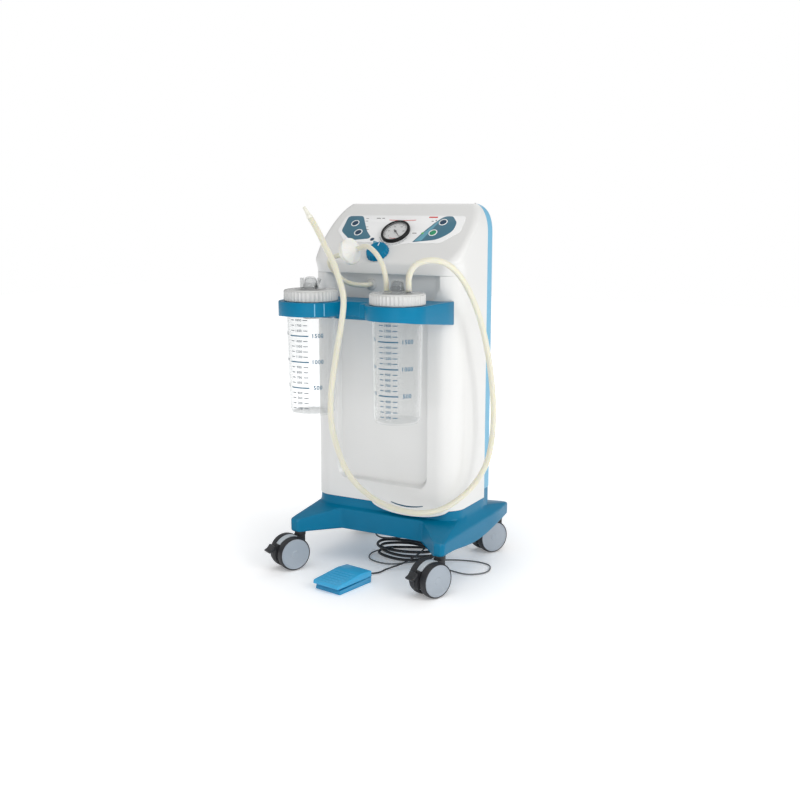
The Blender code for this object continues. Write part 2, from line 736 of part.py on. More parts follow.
def bacterial_filter():
    """Two cones back to back, with a spigot at each end."""
    span = FILTER_END - FILTER_START
    half = span.length / 2.0
    turn = Matrix.Translation((FILTER_START + FILTER_END) / 2.0) @ span.to_track_quat("Z", "Y").to_matrix().to_4x4()
    side = [(0.0045, half), (0.0050, half * 0.60), (0.0120, half * 0.46), (0.0265, 0.0070), (0.0290, 0.0060)]
    profile = [(0.0, half), *side, *[(radius, -height) for radius, height in reversed(side)], (0.0, -half)]
    turned("bacterial_filter", profile, "white_plastic", steps=24, matrix=turn)


def soft_tubes():
    along = (FILTER_END - FILTER_START).normalized()
    port_end = PORT_PLACE - Vector((0.0, 0.0124, 0.0))
    vacuum_in = [
        port_end,
        (-0.032, -0.108, 0.670),
        (-0.048, -0.124, 0.670),
        (-0.068, -0.137, 0.678),
        (-0.085, -0.147, 0.695),
        (-0.097, -0.153, 0.712),
        (-0.098, -0.1565, 0.725),
        (-0.087, -0.1585, 0.7325),
        FILTER_START - along * 0.0004,
    ]
    tube("vacuum_tube_wall", smooth_path(vacuum_in, 3), 0.0055, "silicone")
    vacuum_out = [
        FILTER_END + along * 0.0004,
        (0.012, -0.184, 0.7595),
        (0.028, -0.191, 0.757),
        (0.050, -0.201, 0.744),
        (0.068, -0.208, 0.724),
        (0.077, -0.212, 0.702),
        (JAR_X[2] - PORT_SPACING, JAR_Y, 0.688),
        (JAR_X[2] - PORT_SPACING, JAR_Y, 0.6744),
    ]
    tube("vacuum_tube_jar", smooth_path(vacuum_out, 3), 0.0055, "silicone")
    patient = [
        (JAR_X[2] + PORT_SPACING, JAR_Y, 0.6744),
        (JAR_X[2] + PORT_SPACING, JAR_Y, 0.700),
        (0.147, -0.208, 0.725),
        (0.175, -0.190, 0.735),
        (0.202, -0.164, 0.725),
        (0.219, -0.130, 0.693),
        (0.232, -0.095, 0.639),
        (0.239, -0.060, 0.570),
        (0.241, -0.025, 0.480),
        (0.242, -0.008, 0.385),
        (0.239, -0.014, 0.305),
        (0.231, -0.040, 0.252),
        (0.212, -0.085, 0.212),
        (0.183, -0.128, 0.186),
        (0.146, -0.152, 0.174),
        (0.095, -0.164, 0.175),
        (0.040, -0.168, 0.186),
        (-0.006, -0.170, 0.209),
        (-0.044, -0.176, 0.248),
        (-0.060, -0.190, 0.304),
        (-0.050, -0.232, 0.372),
        (-0.040, -0.247, 0.444),
        (-0.020, -0.255, 0.530),
        (0.004, -0.268, 0.607),
        (0.009, -0.268, 0.654),
        (-0.003, -0.262, 0.685),
        (-0.028, -0.250, 0.728),
        (-0.054, -0.240, 0.759),
        (-0.075, -0.234, 0.790),
        (-0.097, -0.230, 0.818),
    ]
    path = smooth_path(patient, 2)
    tube("patient_tube", path, 0.0065, "silicone")
    along = (path[-1] - path[-2]).normalized()
    tip_start = path[-1] + along * 0.0004
    turn = Matrix.Translation(tip_start) @ along.to_track_quat("Z", "Y").to_matrix().to_4x4()
    profile = [(0.0, 0.032), (0.0028, 0.032), (0.0045, 0.010), (0.0062, 0.008), (0.0062, 0.0), (0.0, 0.0)]
    turned("tube_tip", profile, "clear_plastic", steps=16, matrix=turn)


# Castors


def castor_matrix(name):
    """The stem's foot on the base, turned as the castor stands at rest."""
    x, y = CASTOR_PLACE[name]
    return Matrix.Translation((x, y, 0.0)) @ Matrix.Rotation(CASTOR_TURN[name], 4, "Z")


def castor(name):
    """A web between two wheels: local X is the axle, and the wheels trail towards local -Y."""
    here = castor_matrix(name)
    upright = here @ SIDEWAYS
    axle_y = -CASTOR_TRAIL
    centre = (axle_y, WHEEL_RADIUS)
    side = arc(centre, 0.0400, 66.0, 142.0, 7) + arc(centre, 0.0430, 144.0, 204.0, 6)
    side += arc(centre, 0.0130, 206.0, 360.0, 6) + [(0.0095, 0.0600), (0.0095, 0.0800), (-0.0125, 0.0800)]
    fork = plate(f"castor_fork_{name}", [side], 0.0145, "black_plastic", upright)
    extras = []
    axle_end = WHEEL_INNER_FACE + WHEEL_WIDTH - 0.001
    axle_start = here @ Vector((-axle_end, axle_y, WHEEL_RADIUS))
    axle_finish = here @ Vector((axle_end, axle_y, WHEEL_RADIUS))
    extras.append(cylinder(f"axle_{name}", axle_start, axle_finish, 0.0040, segments=8))
    extras.append(rod_on(here, f"collar_{name}", 0.078, BASE_BOTTOM - GAP, 0.013))
    extras.append(rod_on(here, f"stem_{name}", 0.080, 0.107, 0.0054, segments=10))
    combine(fork, extras, "UNION")
    for side_name, sign in (("left", -1.0), ("right", 1.0)):
        rim = WHEEL_INNER_FACE + WHEEL_WIDTH
        profile = [
            (0.0045, rim),
            (0.0365, rim),
            (WHEEL_RADIUS, rim - 0.005),
            (WHEEL_RADIUS, WHEEL_INNER_FACE + 0.004),
            (0.0370, WHEEL_INNER_FACE),
            (0.0045, WHEEL_INNER_FACE),
        ]
        turn = here @ Matrix.Translation((0.0, axle_y, WHEEL_RADIUS))
        turn = turn @ Matrix.Rotation(sign * math.radians(90.0), 4, "Y")
        turned(f"wheel_{name}_{side_name}", profile, "disc_grey", steps=24, closed=True, matrix=turn)
    if name.startswith("front"):
        pedal = [(-0.0725, 0.0640), (-0.0725, 0.0555), (-0.078, 0.0505), (-0.0885, 0.0480), (-0.0905, 0.0520)]
        pedal += [(-0.081, 0.0570), (-0.0765, 0.0640)]
        plate(f"brake_pedal_{name}", [pedal], 0.026, "black_plastic", upright)


# Foot switch and cables


FOOT_SWITCH = Matrix.Translation((-0.024, -0.230, 0.0)) @ Matrix.Rotation(math.radians(-9.5), 4, "Z")


def foot_switch():
    """A low base, and a pedal that tilts on the base's rear end."""
    lower = [(0.056, 0.001), (0.057, 0.0135), (0.040, 0.0135), (-0.050, 0.0100), (-0.0525, 0.001), (-0.051, 0.0)]
    lower = [*lower, (0.055, 0.0)]
    plate("foot_switch_base", [lower], 0.073, "foot_blue", FOOT_SWITCH @ SIDEWAYS)
    upper = [(0.057, 0.0140), (0.056, 0.0285), (0.022, 0.0310), (-0.058, 0.0235), (-0.060, 0.0150), (-0.0575, 0.0140)]
    upper = [*upper, (0.040, 0.0142)]
    plate("foot_switch_pedal", [upper], 0.075, "foot_blue", FOOT_SWITCH @ SIDEWAYS)


def cables():
    """The foot switch's lead and the mains cord, looped under the base."""
    start = FOOT_SWITCH @ Vector((0.0, 0.0575, 0.0075))
    lead = [
        start,
        (-0.010, -0.150, 0.0050),
        (0.008, -0.125, 0.0035),
        (0.012, -0.095, 0.0035),
        (0.050, -0.070, 0.0200),
        (0.078, -0.030, 0.0450),
        (0.050, 0.040, 0.0560),
        (-0.030, 0.045, 0.0580),
        (-0.070, 0.000, 0.0580),
        (-0.030, -0.045, 0.0600),
        (0.030, -0.030, 0.0680),
        (0.040, 0.010, 0.0800),
        (0.036, 0.020, 0.1195),
    ]
    tube("foot_switch_lead", smooth_path(lead, 3), 0.0020, "black_plastic", roundness=1)
    coil = []
    turns = 3
    steps = 12
    for index in range(turns * steps + 1):
        angle = math.radians(70.0) + 2.0 * math.pi * index / steps
        z = 0.0040 + 0.0088 * index / steps
        swell = 1.0 + 0.10 * math.sin(1.7 * angle)
        coil.append((0.005 + 0.078 * swell * math.cos(angle), 0.022 + 0.052 * swell * math.sin(angle), z))
    run = [
        (0.080, 0.1325, 0.2400),
        (0.080, 0.143, 0.2360),
        (0.080, 0.148, 0.2000),
        (0.080, 0.149, 0.1300),
        (0.079, 0.175, 0.0550),
        (0.078, 0.222, 0.0080),
        (0.090, 0.262, 0.0040),
        (0.078, 0.286, 0.0040),
        (0.046, 0.262, 0.0040),
        (0.045, 0.170, 0.0040),
        (0.055, 0.110, 0.0040),
    ]
    path = smooth_path([*run, *coil[1::2]], 2)
    cord = tube("mains_cord", path, 0.0035, "black_plastic", roundness=1)
    combine(cord, [box("moulded_plug", (0.066, 0.1050, 0.230), (0.094, 0.1345, 0.250), bevel=0.003)], "UNION")


# Inside the housing


def drive():
    """Motor, shaft with fan, crankcase and two pump heads on a steel plate."""
    deck = 0.1670 + GAP
    box("chassis_plate", (-0.150, -0.075, 0.1650), (0.150, 0.052, 0.1670), "steel")
    axis_y = -0.005
    axis_z = 0.235
    bore = 0.0083
    motor = cylinder("motor_housing", (-0.055, axis_y, axis_z), (0.045, axis_y, axis_z), 0.050, "cast_metal", 20)
    foot = box("motor_foot", (-0.035, -0.040, deck), (0.025, 0.030, 0.200))
    combine(motor, [foot], "UNION")
    motor_bore = cylinder("motor_bore", (-0.080, axis_y, axis_z), (0.080, axis_y, axis_z), bore, segments=14)
    combine(motor, [motor_bore], "DIFFERENCE")
    crankcase = box("crankcase", (-0.106, -0.045, deck), (-0.0553, 0.035, 0.290), "cast_metal", bevel=0.003, segments=1)
    crank_bore = cylinder("crank_bore", (-0.101, axis_y, axis_z), (-0.050, axis_y, axis_z), bore, segments=14)
    combine(crankcase, [crank_bore], "DIFFERENCE")
    cylinder("motor_shaft", (-0.100, axis_y, axis_z), (0.072, axis_y, axis_z), 0.008, "steel", 12)
    blades = 7
    outline = []
    for index in range(blades):
        start = 360.0 * index / blades
        outline += arc((0.0, 0.0), 0.018, start, start + 22.0, 2)
        outline += arc((0.0, 0.0), 0.044, start + 26.0, start + 46.0, 2)
    across = Matrix.Translation((0.0595, axis_y, axis_z)) @ Matrix.Rotation(math.radians(90.0), 4, "Y")
    plate("cooling_fan", [outline, circle((0.0, 0.0), bore, 16)], 0.012, "black_plastic", across)
    for number, low, high in ((1, -0.044, -0.0062), (2, -0.0038, 0.034)):
        box(f"pump_head_{number}", (-0.104, low, 0.290 + GAP), (-0.057, high, 0.335), "cast_metal", bevel=0.004)
    hose = [
        (-0.080, -0.025, 0.3354),
        (-0.080, -0.025, 0.380),
        (-0.068, -0.035, 0.480),
        (-0.040, -0.045, 0.590),
        (-0.031, -0.040, 0.655),
        (-0.031, -0.055, 0.670),
        (-0.031, -0.0718, 0.670),
    ]
    tube("internal_hose", smooth_path(hose, 2), 0.0050, "black_plastic", roundness=1)
    cylinder("silencer", (0.112, -0.030, deck), (0.112, -0.030, 0.290), 0.020, "black_plastic", 16)
    box("circuit_board", (0.060, 0.044, deck), (0.145, 0.0456, 0.300), "board_green")
    box("mains_socket", (0.055, 0.080, 0.225), (0.105, 0.1045, 0.255), "black_plastic")


front_shell()
rear_shell()
base_moulding()
control_panel()
gauge()
buttons()
regulator()
jar_holder()
jar_set(1)
jar_set(2)
wall_port()
bacterial_filter()
soft_tubes()
for corner in CASTOR_PLACE:
    castor(corner)
foot_switch()
cables()
drive()
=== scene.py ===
"""Looks of the suction pump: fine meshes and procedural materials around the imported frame. Metres, +Z up."""

import math

import bmesh
import bpy
from mathutils import Matrix, Vector


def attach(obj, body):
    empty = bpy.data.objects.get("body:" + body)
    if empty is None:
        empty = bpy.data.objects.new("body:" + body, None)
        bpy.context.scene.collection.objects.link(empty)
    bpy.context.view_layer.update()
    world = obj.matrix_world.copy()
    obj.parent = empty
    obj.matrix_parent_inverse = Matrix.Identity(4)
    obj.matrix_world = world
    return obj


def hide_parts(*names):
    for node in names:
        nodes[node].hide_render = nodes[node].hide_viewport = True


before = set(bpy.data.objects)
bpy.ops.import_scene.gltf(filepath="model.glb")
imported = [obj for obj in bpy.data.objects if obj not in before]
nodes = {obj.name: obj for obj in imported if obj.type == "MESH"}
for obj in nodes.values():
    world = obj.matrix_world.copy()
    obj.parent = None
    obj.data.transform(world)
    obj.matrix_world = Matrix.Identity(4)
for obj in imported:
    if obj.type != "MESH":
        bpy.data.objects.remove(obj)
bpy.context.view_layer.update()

# Housing
GAP = 0.0003
SHELL_WALL = 0.0024

# Edges sharper than this many degrees stay hard
SHARP_ANGLE = 32.0
BODY_HALF_WIDTH = 0.191
TOP_HALF_WIDTH = 0.158
BODY_FRONT = -0.097
BODY_SPLIT = 0.058
BODY_REAR = 0.102
BODY_TOP = 0.850
SHELL_BOTTOM = 0.165
REAR_BOTTOM = 0.186
SHOULDER_Z = 0.785
FLANK_RADIUS = 0.050
RECESS_DEPTH = 0.012
RECESS_TOP = 0.694
RECESS_LOW = 0.212
RECESS_HALF = 0.119
BELLY_X = 0.072
BELLY_HALF = 0.100

# Tilted panel
PANEL_RUN = 1.15
PANEL_ORIGIN = Vector((0.0, -0.0264, 0.784))
PANEL_NORMAL = Vector((0.0, -1.0, PANEL_RUN)).normalized()
PANEL_UP = Vector((0.0, PANEL_RUN, 1.0)).normalized()
OVERLAY_TOP = 0.0013
KNOB_PLACE = (-0.018, -0.068)
KNOB_RADIUS = 0.0272
GAUGE_BORE = 0.0302

# Holes in the panel: across it, up its slope, radius
BUTTON_BORES = {
    "left_button_upper": (-0.122, 0.030, 0.0081),
    "left_button_lower": (-0.100, -0.001, 0.0081),
    "right_button": (0.107, 0.036, 0.0081),
    "power_button": (0.0945, 0.001, 0.0081),
}
LAMP_BORES = {"left_indicator": (-0.053, -0.023, 0.0053), "green_lamp": (0.069, -0.001, 0.0038)}

# Jars
JAR_X = {1: -0.112, 2: 0.107}
JAR_Y = -0.212
JAR_TOP = 0.646
JAR_BOTTOM = 0.389
JAR_FOOT_RADIUS = 0.0510
JAR_TAPER = 0.0045
JAR_TAPER_START = 0.388
HOLDER_TOP = 0.640
HOLDER_RADIUS = {1: 0.0715, 2: 0.069}
WING_HALF_WIDTH = 0.1765
PORT_SPACING = 0.027
SCALE_ZERO = 0.3945
SCALE_PER_ML = 0.0001147

# Castors
CASTOR_PLACE = {
    "front_left": (-0.186, -0.162),
    "front_right": (0.186, -0.162),
    "rear_left": (-0.170, 0.186),
    "rear_right": (0.170, 0.186),
}
CASTOR_TURN = {"front_left": -27.0, "front_right": -22.0, "rear_left": -24.0, "rear_right": -30.0}
CASTOR_TRAIL = 0.028
WHEEL_RADIUS = 0.040
WHEEL_INNER = 0.0078
WHEEL_OUTER = 0.0288


# Materials


def add(tree, kind, values=(), **settings):
    """A node with some of its settings and inputs filled in."""
    node = tree.nodes.new(kind)
    for key, value in settings.items():
        setattr(node, key, value)
    for key, value in dict(values).items():
        node.inputs[key].default_value = value
    return node


def wire(tree, source, target):
    tree.links.new(source, target)


def shade(colour, factor):
    return tuple(min(1.0, channel * factor) for channel in colour) + (1.0,)


def surface(
    name, colour, roughness, mottle=0.05, wear=0.25, grain=900.0,
    depth=0.00004, metallic=0.0, coat=0.0, shine=0.5,
):
    """Moulded or machined stuff: a faint mottle, paler edges, uneven gloss and a fine grain."""
    material = bpy.data.materials.new(name)
    material.use_nodes = True
    tree = material.node_tree
    shader = tree.nodes["Principled BSDF"]
    place = add(tree, "ShaderNodeTexCoord").outputs["Object"]
    broad = add(tree, "ShaderNodeTexNoise", {"Scale": 22.0, "Detail": 4.0, "Roughness": 0.6})
    fine = add(tree, "ShaderNodeTexNoise", {"Scale": grain, "Detail": 2.0, "Roughness": 0.5})
    smudge = add(tree, "ShaderNodeTexNoise", {"Scale": 75.0, "Detail": 5.0, "Roughness": 0.7})
    for texture in (broad, fine, smudge):
        wire(tree, place, texture.inputs["Vector"])
    body = add(tree, "ShaderNodeMix", data_type="RGBA")
    body.inputs["A"].default_value = shade(colour, 1.0 - mottle)
    body.inputs["B"].default_value = shade(colour, 1.0 + mottle)
    wire(tree, broad.outputs["Fac"], body.inputs["Factor"])
    edge = add(tree, "ShaderNodeNewGeometry").outputs["Pointiness"]
    band = add(tree, "ShaderNodeMapRange", {"From Min": 0.53, "From Max": 0.62, "To Max": wear})
    wire(tree, edge, band.inputs["Value"])
    patchy = add(tree, "ShaderNodeMath", operation="MULTIPLY")
    wire(tree, band.outputs["Result"], patchy.inputs[0])
    wire(tree, smudge.outputs["Fac"], patchy.inputs[1])
    worn = add(tree, "ShaderNodeMix", data_type="RGBA")
    wire(tree, body.outputs["Result"], worn.inputs["A"])
    worn.inputs["B"].default_value = tuple(0.5 * channel + 0.4 for channel in colour) + (1.0,)
    wire(tree, patchy.outputs["Value"], worn.inputs["Factor"])
    wire(tree, worn.outputs["Result"], shader.inputs["Base Color"])
    gloss = add(tree, "ShaderNodeMapRange", {"To Min": roughness - 0.06, "To Max": roughness + 0.09})
    wire(tree, smudge.outputs["Fac"], gloss.inputs["Value"])
    wire(tree, gloss.outputs["Result"], shader.inputs["Roughness"])
    bump = add(tree, "ShaderNodeBump", {"Strength": 0.5, "Distance": depth})
    wire(tree, fine.outputs["Fac"], bump.inputs["Height"])
    wire(tree, bump.outputs["Normal"], shader.inputs["Normal"])
    shader.inputs["Metallic"].default_value = metallic
    shader.inputs["Specular IOR Level"].default_value = shine
    shader.inputs["Coat Weight"].default_value = coat
    shader.inputs["Coat Roughness"].default_value = 0.12
    return material


def clear(name, tint, painted_reflection_tint, body=0.06, rim=0.85):
    """Clear moulding: see-through face on; towards its edges a flat painted reflection colour (pale on the jar
    and lens, dark grey on the caps) and real Fresnel gloss, with faint haze.
    """
    material = bpy.data.materials.new(name)
    material.use_nodes = True
    tree = material.node_tree
    shader = tree.nodes["Principled BSDF"]
    # This base colour is painted reflection. The facing weight below shows more of it towards the edges.
    shader.inputs["Base Color"].default_value = painted_reflection_tint
    shader.inputs["Roughness"].default_value = 0.06
    shader.inputs["IOR"].default_value = 1.5
    through = add(tree, "ShaderNodeBsdfTransparent", {"Color": tint})
    place = add(tree, "ShaderNodeTexCoord").outputs["Object"]
    haze = add(tree, "ShaderNodeTexNoise", {"Scale": 24.0, "Detail": 2.0})
    wire(tree, place, haze.inputs["Vector"])
    rough = add(tree, "ShaderNodeMapRange", {"To Min": 0.02, "To Max": 0.08})
    wire(tree, haze.outputs["Fac"], rough.inputs["Value"])
    wire(tree, rough.outputs["Result"], shader.inputs["Roughness"])
    ripple = add(tree, "ShaderNodeBump", {"Strength": 0.08, "Distance": 0.0002})
    wire(tree, haze.outputs["Fac"], ripple.inputs["Height"])
    wire(tree, ripple.outputs["Normal"], shader.inputs["Normal"])
    facing = add(tree, "ShaderNodeLayerWeight", {"Blend": 0.45})
    bent = add(tree, "ShaderNodeMath", operation="POWER")
    bent.inputs[1].default_value = 3.2
    wire(tree, facing.outputs["Facing"], bent.inputs[0])
    # body and rim: how much of the painted reflection colour shows face on and at the edges.
    weight = add(tree, "ShaderNodeMapRange", {"To Min": body, "To Max": rim})
    wire(tree, bent.outputs["Value"], weight.inputs["Value"])
    mixed = add(tree, "ShaderNodeMixShader")
    wire(tree, weight.outputs["Result"], mixed.inputs["Fac"])
    wire(tree, through.outputs["BSDF"], mixed.inputs[1])
    wire(tree, shader.outputs["BSDF"], mixed.inputs[2])
    mirror = add(tree, "ShaderNodeBsdfAnisotropic", {"Color": (1.0, 1.0, 1.0, 1.0)})
    wire(tree, rough.outputs["Result"], mirror.inputs["Roughness"])
    wire(tree, ripple.outputs["Normal"], mirror.inputs["Normal"])
    sheen = add(tree, "ShaderNodeFresnel", {"IOR": 1.42})
    front = add(tree, "ShaderNodeMath", {0: 1.0}, operation="SUBTRACT")
    wire(tree, add(tree, "ShaderNodeNewGeometry").outputs["Backfacing"], front.inputs[1])
    outside = add(tree, "ShaderNodeMath", operation="MULTIPLY")
    wire(tree, sheen.outputs["Fac"], outside.inputs[0])
    wire(tree, front.outputs["Value"], outside.inputs[1])
    coated = add(tree, "ShaderNodeMixShader")
    wire(tree, outside.outputs["Value"], coated.inputs["Fac"])
    wire(tree, mixed.outputs["Shader"], coated.inputs[1])
    wire(tree, mirror.outputs["BSDF"], coated.inputs[2])
    wire(tree, coated.outputs["Shader"], tree.nodes["Material Output"].inputs["Surface"])
    return material


def rubbery(name, colour, see_through, roughness=0.34):
    """Translucent silicone with faint drawing lines and cloudy patches."""
    material = surface(name, colour, roughness, mottle=0.035, wear=0.0, grain=500.0, depth=0.00006)
    tree = material.node_tree
    shader = tree.nodes["Principled BSDF"]
    shader.inputs["Subsurface Weight"].default_value = 0.55
    shader.inputs["Subsurface Radius"].default_value = (0.006, 0.005, 0.003)
    through = add(tree, "ShaderNodeBsdfTransparent", {"Color": (0.97, 0.96, 0.90, 1.0)})
    facing = add(tree, "ShaderNodeLayerWeight", {"Blend": 0.35})
    weight = add(tree, "ShaderNodeMapRange", {"To Min": 1.0 - see_through, "To Max": 1.0})
    wire(tree, facing.outputs["Facing"], weight.inputs["Value"])
    mixed = add(tree, "ShaderNodeMixShader")
    wire(tree, weight.outputs["Result"], mixed.inputs["Fac"])
    wire(tree, through.outputs["BSDF"], mixed.inputs[1])
    wire(tree, shader.outputs["BSDF"], mixed.inputs[2])
    wire(tree, mixed.outputs["Shader"], tree.nodes["Material Output"].inputs["Surface"])
    return material


LOOKS = {
    "white": surface("white_shell", (0.71, 0.71, 0.70), 0.30, mottle=0.012, wear=0.5, coat=0.2),
    "overlay": surface("panel_overlay", (0.86, 0.86, 0.86), 0.22, mottle=0.01, wear=0.0, coat=0.3),
    "rear_blue": surface("rear_shell_blue", (0.16, 0.42, 0.60), 0.36, mottle=0.04, shine=0.4),
    "blue": surface("moulded_blue", (0.0, 0.165, 0.31), 0.32, mottle=0.05, wear=0.35, shine=0.16),
    "teal": surface("printed_teal", (0.060, 0.165, 0.23), 0.34, mottle=0.04, wear=0.0, shine=0.3),
    "pale_teal": surface("printed_pale_teal", (0.13, 0.34, 0.44), 0.34, mottle=0.05, wear=0.0, shine=0.3),
    "navy": surface("button_navy", (0.012, 0.045, 0.09), 0.28, mottle=0.1),
    # A darker copy of the moulded blue: painted shade for the inside of the finger slot.
    "slot_blue_painted_shade": surface("slot_blue_painted_shade", (0.006, 0.07, 0.13), 0.5, mottle=0.1),
    "green": surface("button_green", (0.02, 0.26, 0.12), 0.25, mottle=0.1, coat=0.3),
    "lamp": surface("lamp_green", (0.10, 0.42, 0.10), 0.2, mottle=0.1, coat=0.5),
    "ring_white": surface("button_ring", (0.86, 0.87, 0.87), 0.3, mottle=0.02, wear=0.0),
    "black": surface("black_nylon", (0.014, 0.015, 0.018), 0.40, mottle=0.15, wear=0.12),
    "tread": surface(
        "tyre_tread", (0.016, 0.017, 0.021), 0.55, mottle=0.2, wear=0.10, grain=420.0, depth=0.00012
    ),
    "bezel": surface("gauge_bezel", (0.006, 0.006, 0.007), 0.30, mottle=0.1, wear=0.08, shine=0.25),
    "disc": surface("castor_disc", (0.34, 0.385, 0.435), 0.36, mottle=0.05, coat=0.2),
    "bridge": surface("castor_bridge", (0.47, 0.52, 0.56), 0.42, mottle=0.05),
    "lid": surface("lid_polypropylene", (0.58, 0.58, 0.57), 0.24, mottle=0.03, wear=0.6, coat=0.5),
    "dial": surface("dial_white", (0.80, 0.80, 0.80), 0.45, mottle=0.02, wear=0.0),
    "ink": surface("black_ink", (0.02, 0.02, 0.022), 0.5, mottle=0.2, wear=0.0),
    "grey_ink": surface("grey_ink", (0.10, 0.12, 0.14), 0.5, mottle=0.2, wear=0.0),
    "red_ink": surface("red_ink", (0.60, 0.04, 0.03), 0.5, mottle=0.2, wear=0.0),
    "teal_ink": surface("teal_ink", (0.0, 0.10, 0.19), 0.5, mottle=0.15, wear=0.0),
    "foot_blue": surface("foot_switch_blue", (0.03, 0.38, 0.68), 0.36, mottle=0.06, wear=0.4, coat=0.2),
    # A darker copy of the foot-switch blue: painted shade for the lower tub under the treadle.
    "foot_under_painted_shade": surface("foot_switch_base_shaded_blue", (0.016, 0.27, 0.50), 0.42, mottle=0.08),
    "cable": surface("cable_black", (0.018, 0.018, 0.020), 0.45, mottle=0.2),
    "cable_grey": surface("cable_grey", (0.14, 0.145, 0.15), 0.45, mottle=0.15),
    "steel": surface("zinc_steel", (0.55, 0.56, 0.58), 0.32, mottle=0.08, metallic=1.0, grain=300.0),
    "cast": surface(
        "cast_aluminium", (0.36, 0.37, 0.39), 0.50, mottle=0.12, metallic=1.0, grain=600.0, depth=0.0002
    ),
    "board": surface("board_green", (0.02, 0.16, 0.07), 0.45, mottle=0.2),
    # The second colour of each clear look is painted reflection: pale on the jar and lens, dark grey on the
    # caps.
    "clear": clear("clear_jar", (0.965, 0.968, 0.968, 1.0), (0.80, 0.81, 0.81, 1.0), body=0.015, rim=0.70),
    "clear_cap": clear("clear_cap", (0.90, 0.905, 0.905, 1.0), (0.34, 0.35, 0.36, 1.0), body=0.04, rim=0.80),
    "lens": clear("gauge_lens", (0.97, 0.97, 0.97, 1.0), (0.9, 0.9, 0.9, 1.0), body=0.05, rim=0.5),
    "tip": surface("tip_cream", (0.78, 0.77, 0.68), 0.35, mottle=0.03, wear=0.0),
    "silicone": rubbery("silicone_tube", (0.80, 0.78, 0.66), 0.26),
    "filter": rubbery("filter_white", (0.80, 0.80, 0.77), 0.10, roughness=0.30),
}


# Mesh tools


def finished(bm, name, angle=SHARP_ANGLE):
    """A smooth-shaded object from a bmesh, with its faces turned outwards."""
    bmesh.ops.recalc_face_normals(bm, faces=bm.faces)
    mesh = bpy.data.meshes.new(name)
    bm.to_mesh(mesh)
    bm.free()
    mesh.shade_smooth()
    mesh.set_sharp_from_angle(angle=math.radians(angle))
    obj = bpy.data.objects.new(name, mesh)
    bpy.context.scene.collection.objects.link(obj)
    return obj


def settle(obj, look, body, slot, *replaced):
    """Gives a piece its look, the body it moves with, and the CAD nodes that it stands for."""
    obj.data.materials.clear()
    obj.data.materials.append(LOOKS[look])
    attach(obj, body)
    if replaced:
        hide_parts(*replaced)
    return obj


def fillet(points, radius, steps=4, closed=False):
    """A polyline with its corners rounded. A point may carry its own radius as a third number."""
    rounded = []
    count = len(points)
    for index, point in enumerate(points):
        here = Vector(point[:2])
        size = point[2] if len(point) > 2 else radius
        if size <= 0.0 or (not closed and index in (0, count - 1)):
            rounded.append(tuple(here))
            continue
        before = Vector(points[index - 1][:2]) - here
        after = Vector(points[(index + 1) % count][:2]) - here
        reach = min(size, before.length * 0.48, after.length * 0.48)
        start = here + before.normalized() * reach
        end = here + after.normalized() * reach
        for step in range(steps + 1):
            t = step / steps
            rounded.append(tuple(start * (1 - t) ** 2 + here * 2 * t * (1 - t) + end * t**2))
    return rounded


def arc(centre, radius, start, end, count):
    angles = [math.radians(start + (end - start) * index / count) for index in range(count + 1)]
    return [(centre[0] + radius * math.cos(angle), centre[1] + radius * math.sin(angle)) for angle in angles]


def lathe(name, profile, steps=72, matrix=None, closed=False, ripple=None):
    """A solid turned about local Z. ripple(angle, radius, height) may change each point's radius."""
    bm = bmesh.new()
    rings = []
    for radius, height in profile:
        if radius < 1e-6:
            rings.append([bm.verts.new((0.0, 0.0, height))])
            continue
        ring = []
        for index in range(steps):
            angle = 2.0 * math.pi * index / steps
            size = ripple(angle, radius, height) if ripple else radius
            ring.append(bm.verts.new((size * math.cos(angle), size * math.sin(angle), height)))
        rings.append(ring)
    pairs = list(zip(rings, rings[1:]))
    if closed:
        pairs.append((rings[-1], rings[0]))
    for lower, upper in pairs:
        for index in range(steps):
            following = (index + 1) % steps
            if len(lower) == 1 and len(upper) == 1:
                break
            if len(lower) == 1:
                bm.faces.new((lower[0], upper[following], upper[index]))
            elif len(upper) == 1:
                bm.faces.new((lower[index], lower[following], upper[0]))
            else:
                bm.faces.new((lower[index], lower[following], upper[following], upper[index]))
    obj = finished(bm, name)
    if matrix is not None:
        obj.data.transform(matrix)
    return obj


def loft(name, rings, angle=SHARP_ANGLE, cap=True):
    """A solid through rings that have the same number of points."""
    bm = bmesh.new()
    rows = [[bm.verts.new(point) for point in ring] for ring in rings]
    count = len(rings[0])
    for below, above in zip(rows, rows[1:]):
        for index in range(count):
            following = (index + 1) % count
            bm.faces.new((below[index], below[following], above[following], above[index]))
    if cap:
        bm.faces.new(rows[0])
        bm.faces.new(rows[-1])
    return finished(bm, name, angle)


def prism(name, outline, low, high, bevel=0.001, matrix=None, holes=(), steps=3):
    """A flat outline between two heights, with rounded rims."""
    curve = bpy.data.curves.new(name, "CURVE")
    curve.dimensions = "2D"
    curve.fill_mode = "BOTH"
    curve.extrude = (high - low) / 2.0 - bevel
    curve.bevel_depth = bevel
    curve.bevel_resolution = steps
    curve.offset = -bevel
    for ring in (outline, *holes):
        spline = curve.splines.new("POLY")
        spline.points.add(len(ring) - 1)
        for point, (x, y) in zip(spline.points, ring):
            point.co = (x, y, 0.0, 1.0)
        spline.use_cyclic_u = True
    drawing = bpy.data.objects.new(name + "_outline", curve)
    bpy.context.scene.collection.objects.link(drawing)
    drawing.location.z = (low + high) / 2.0
    return solid_from(drawing, name, matrix)


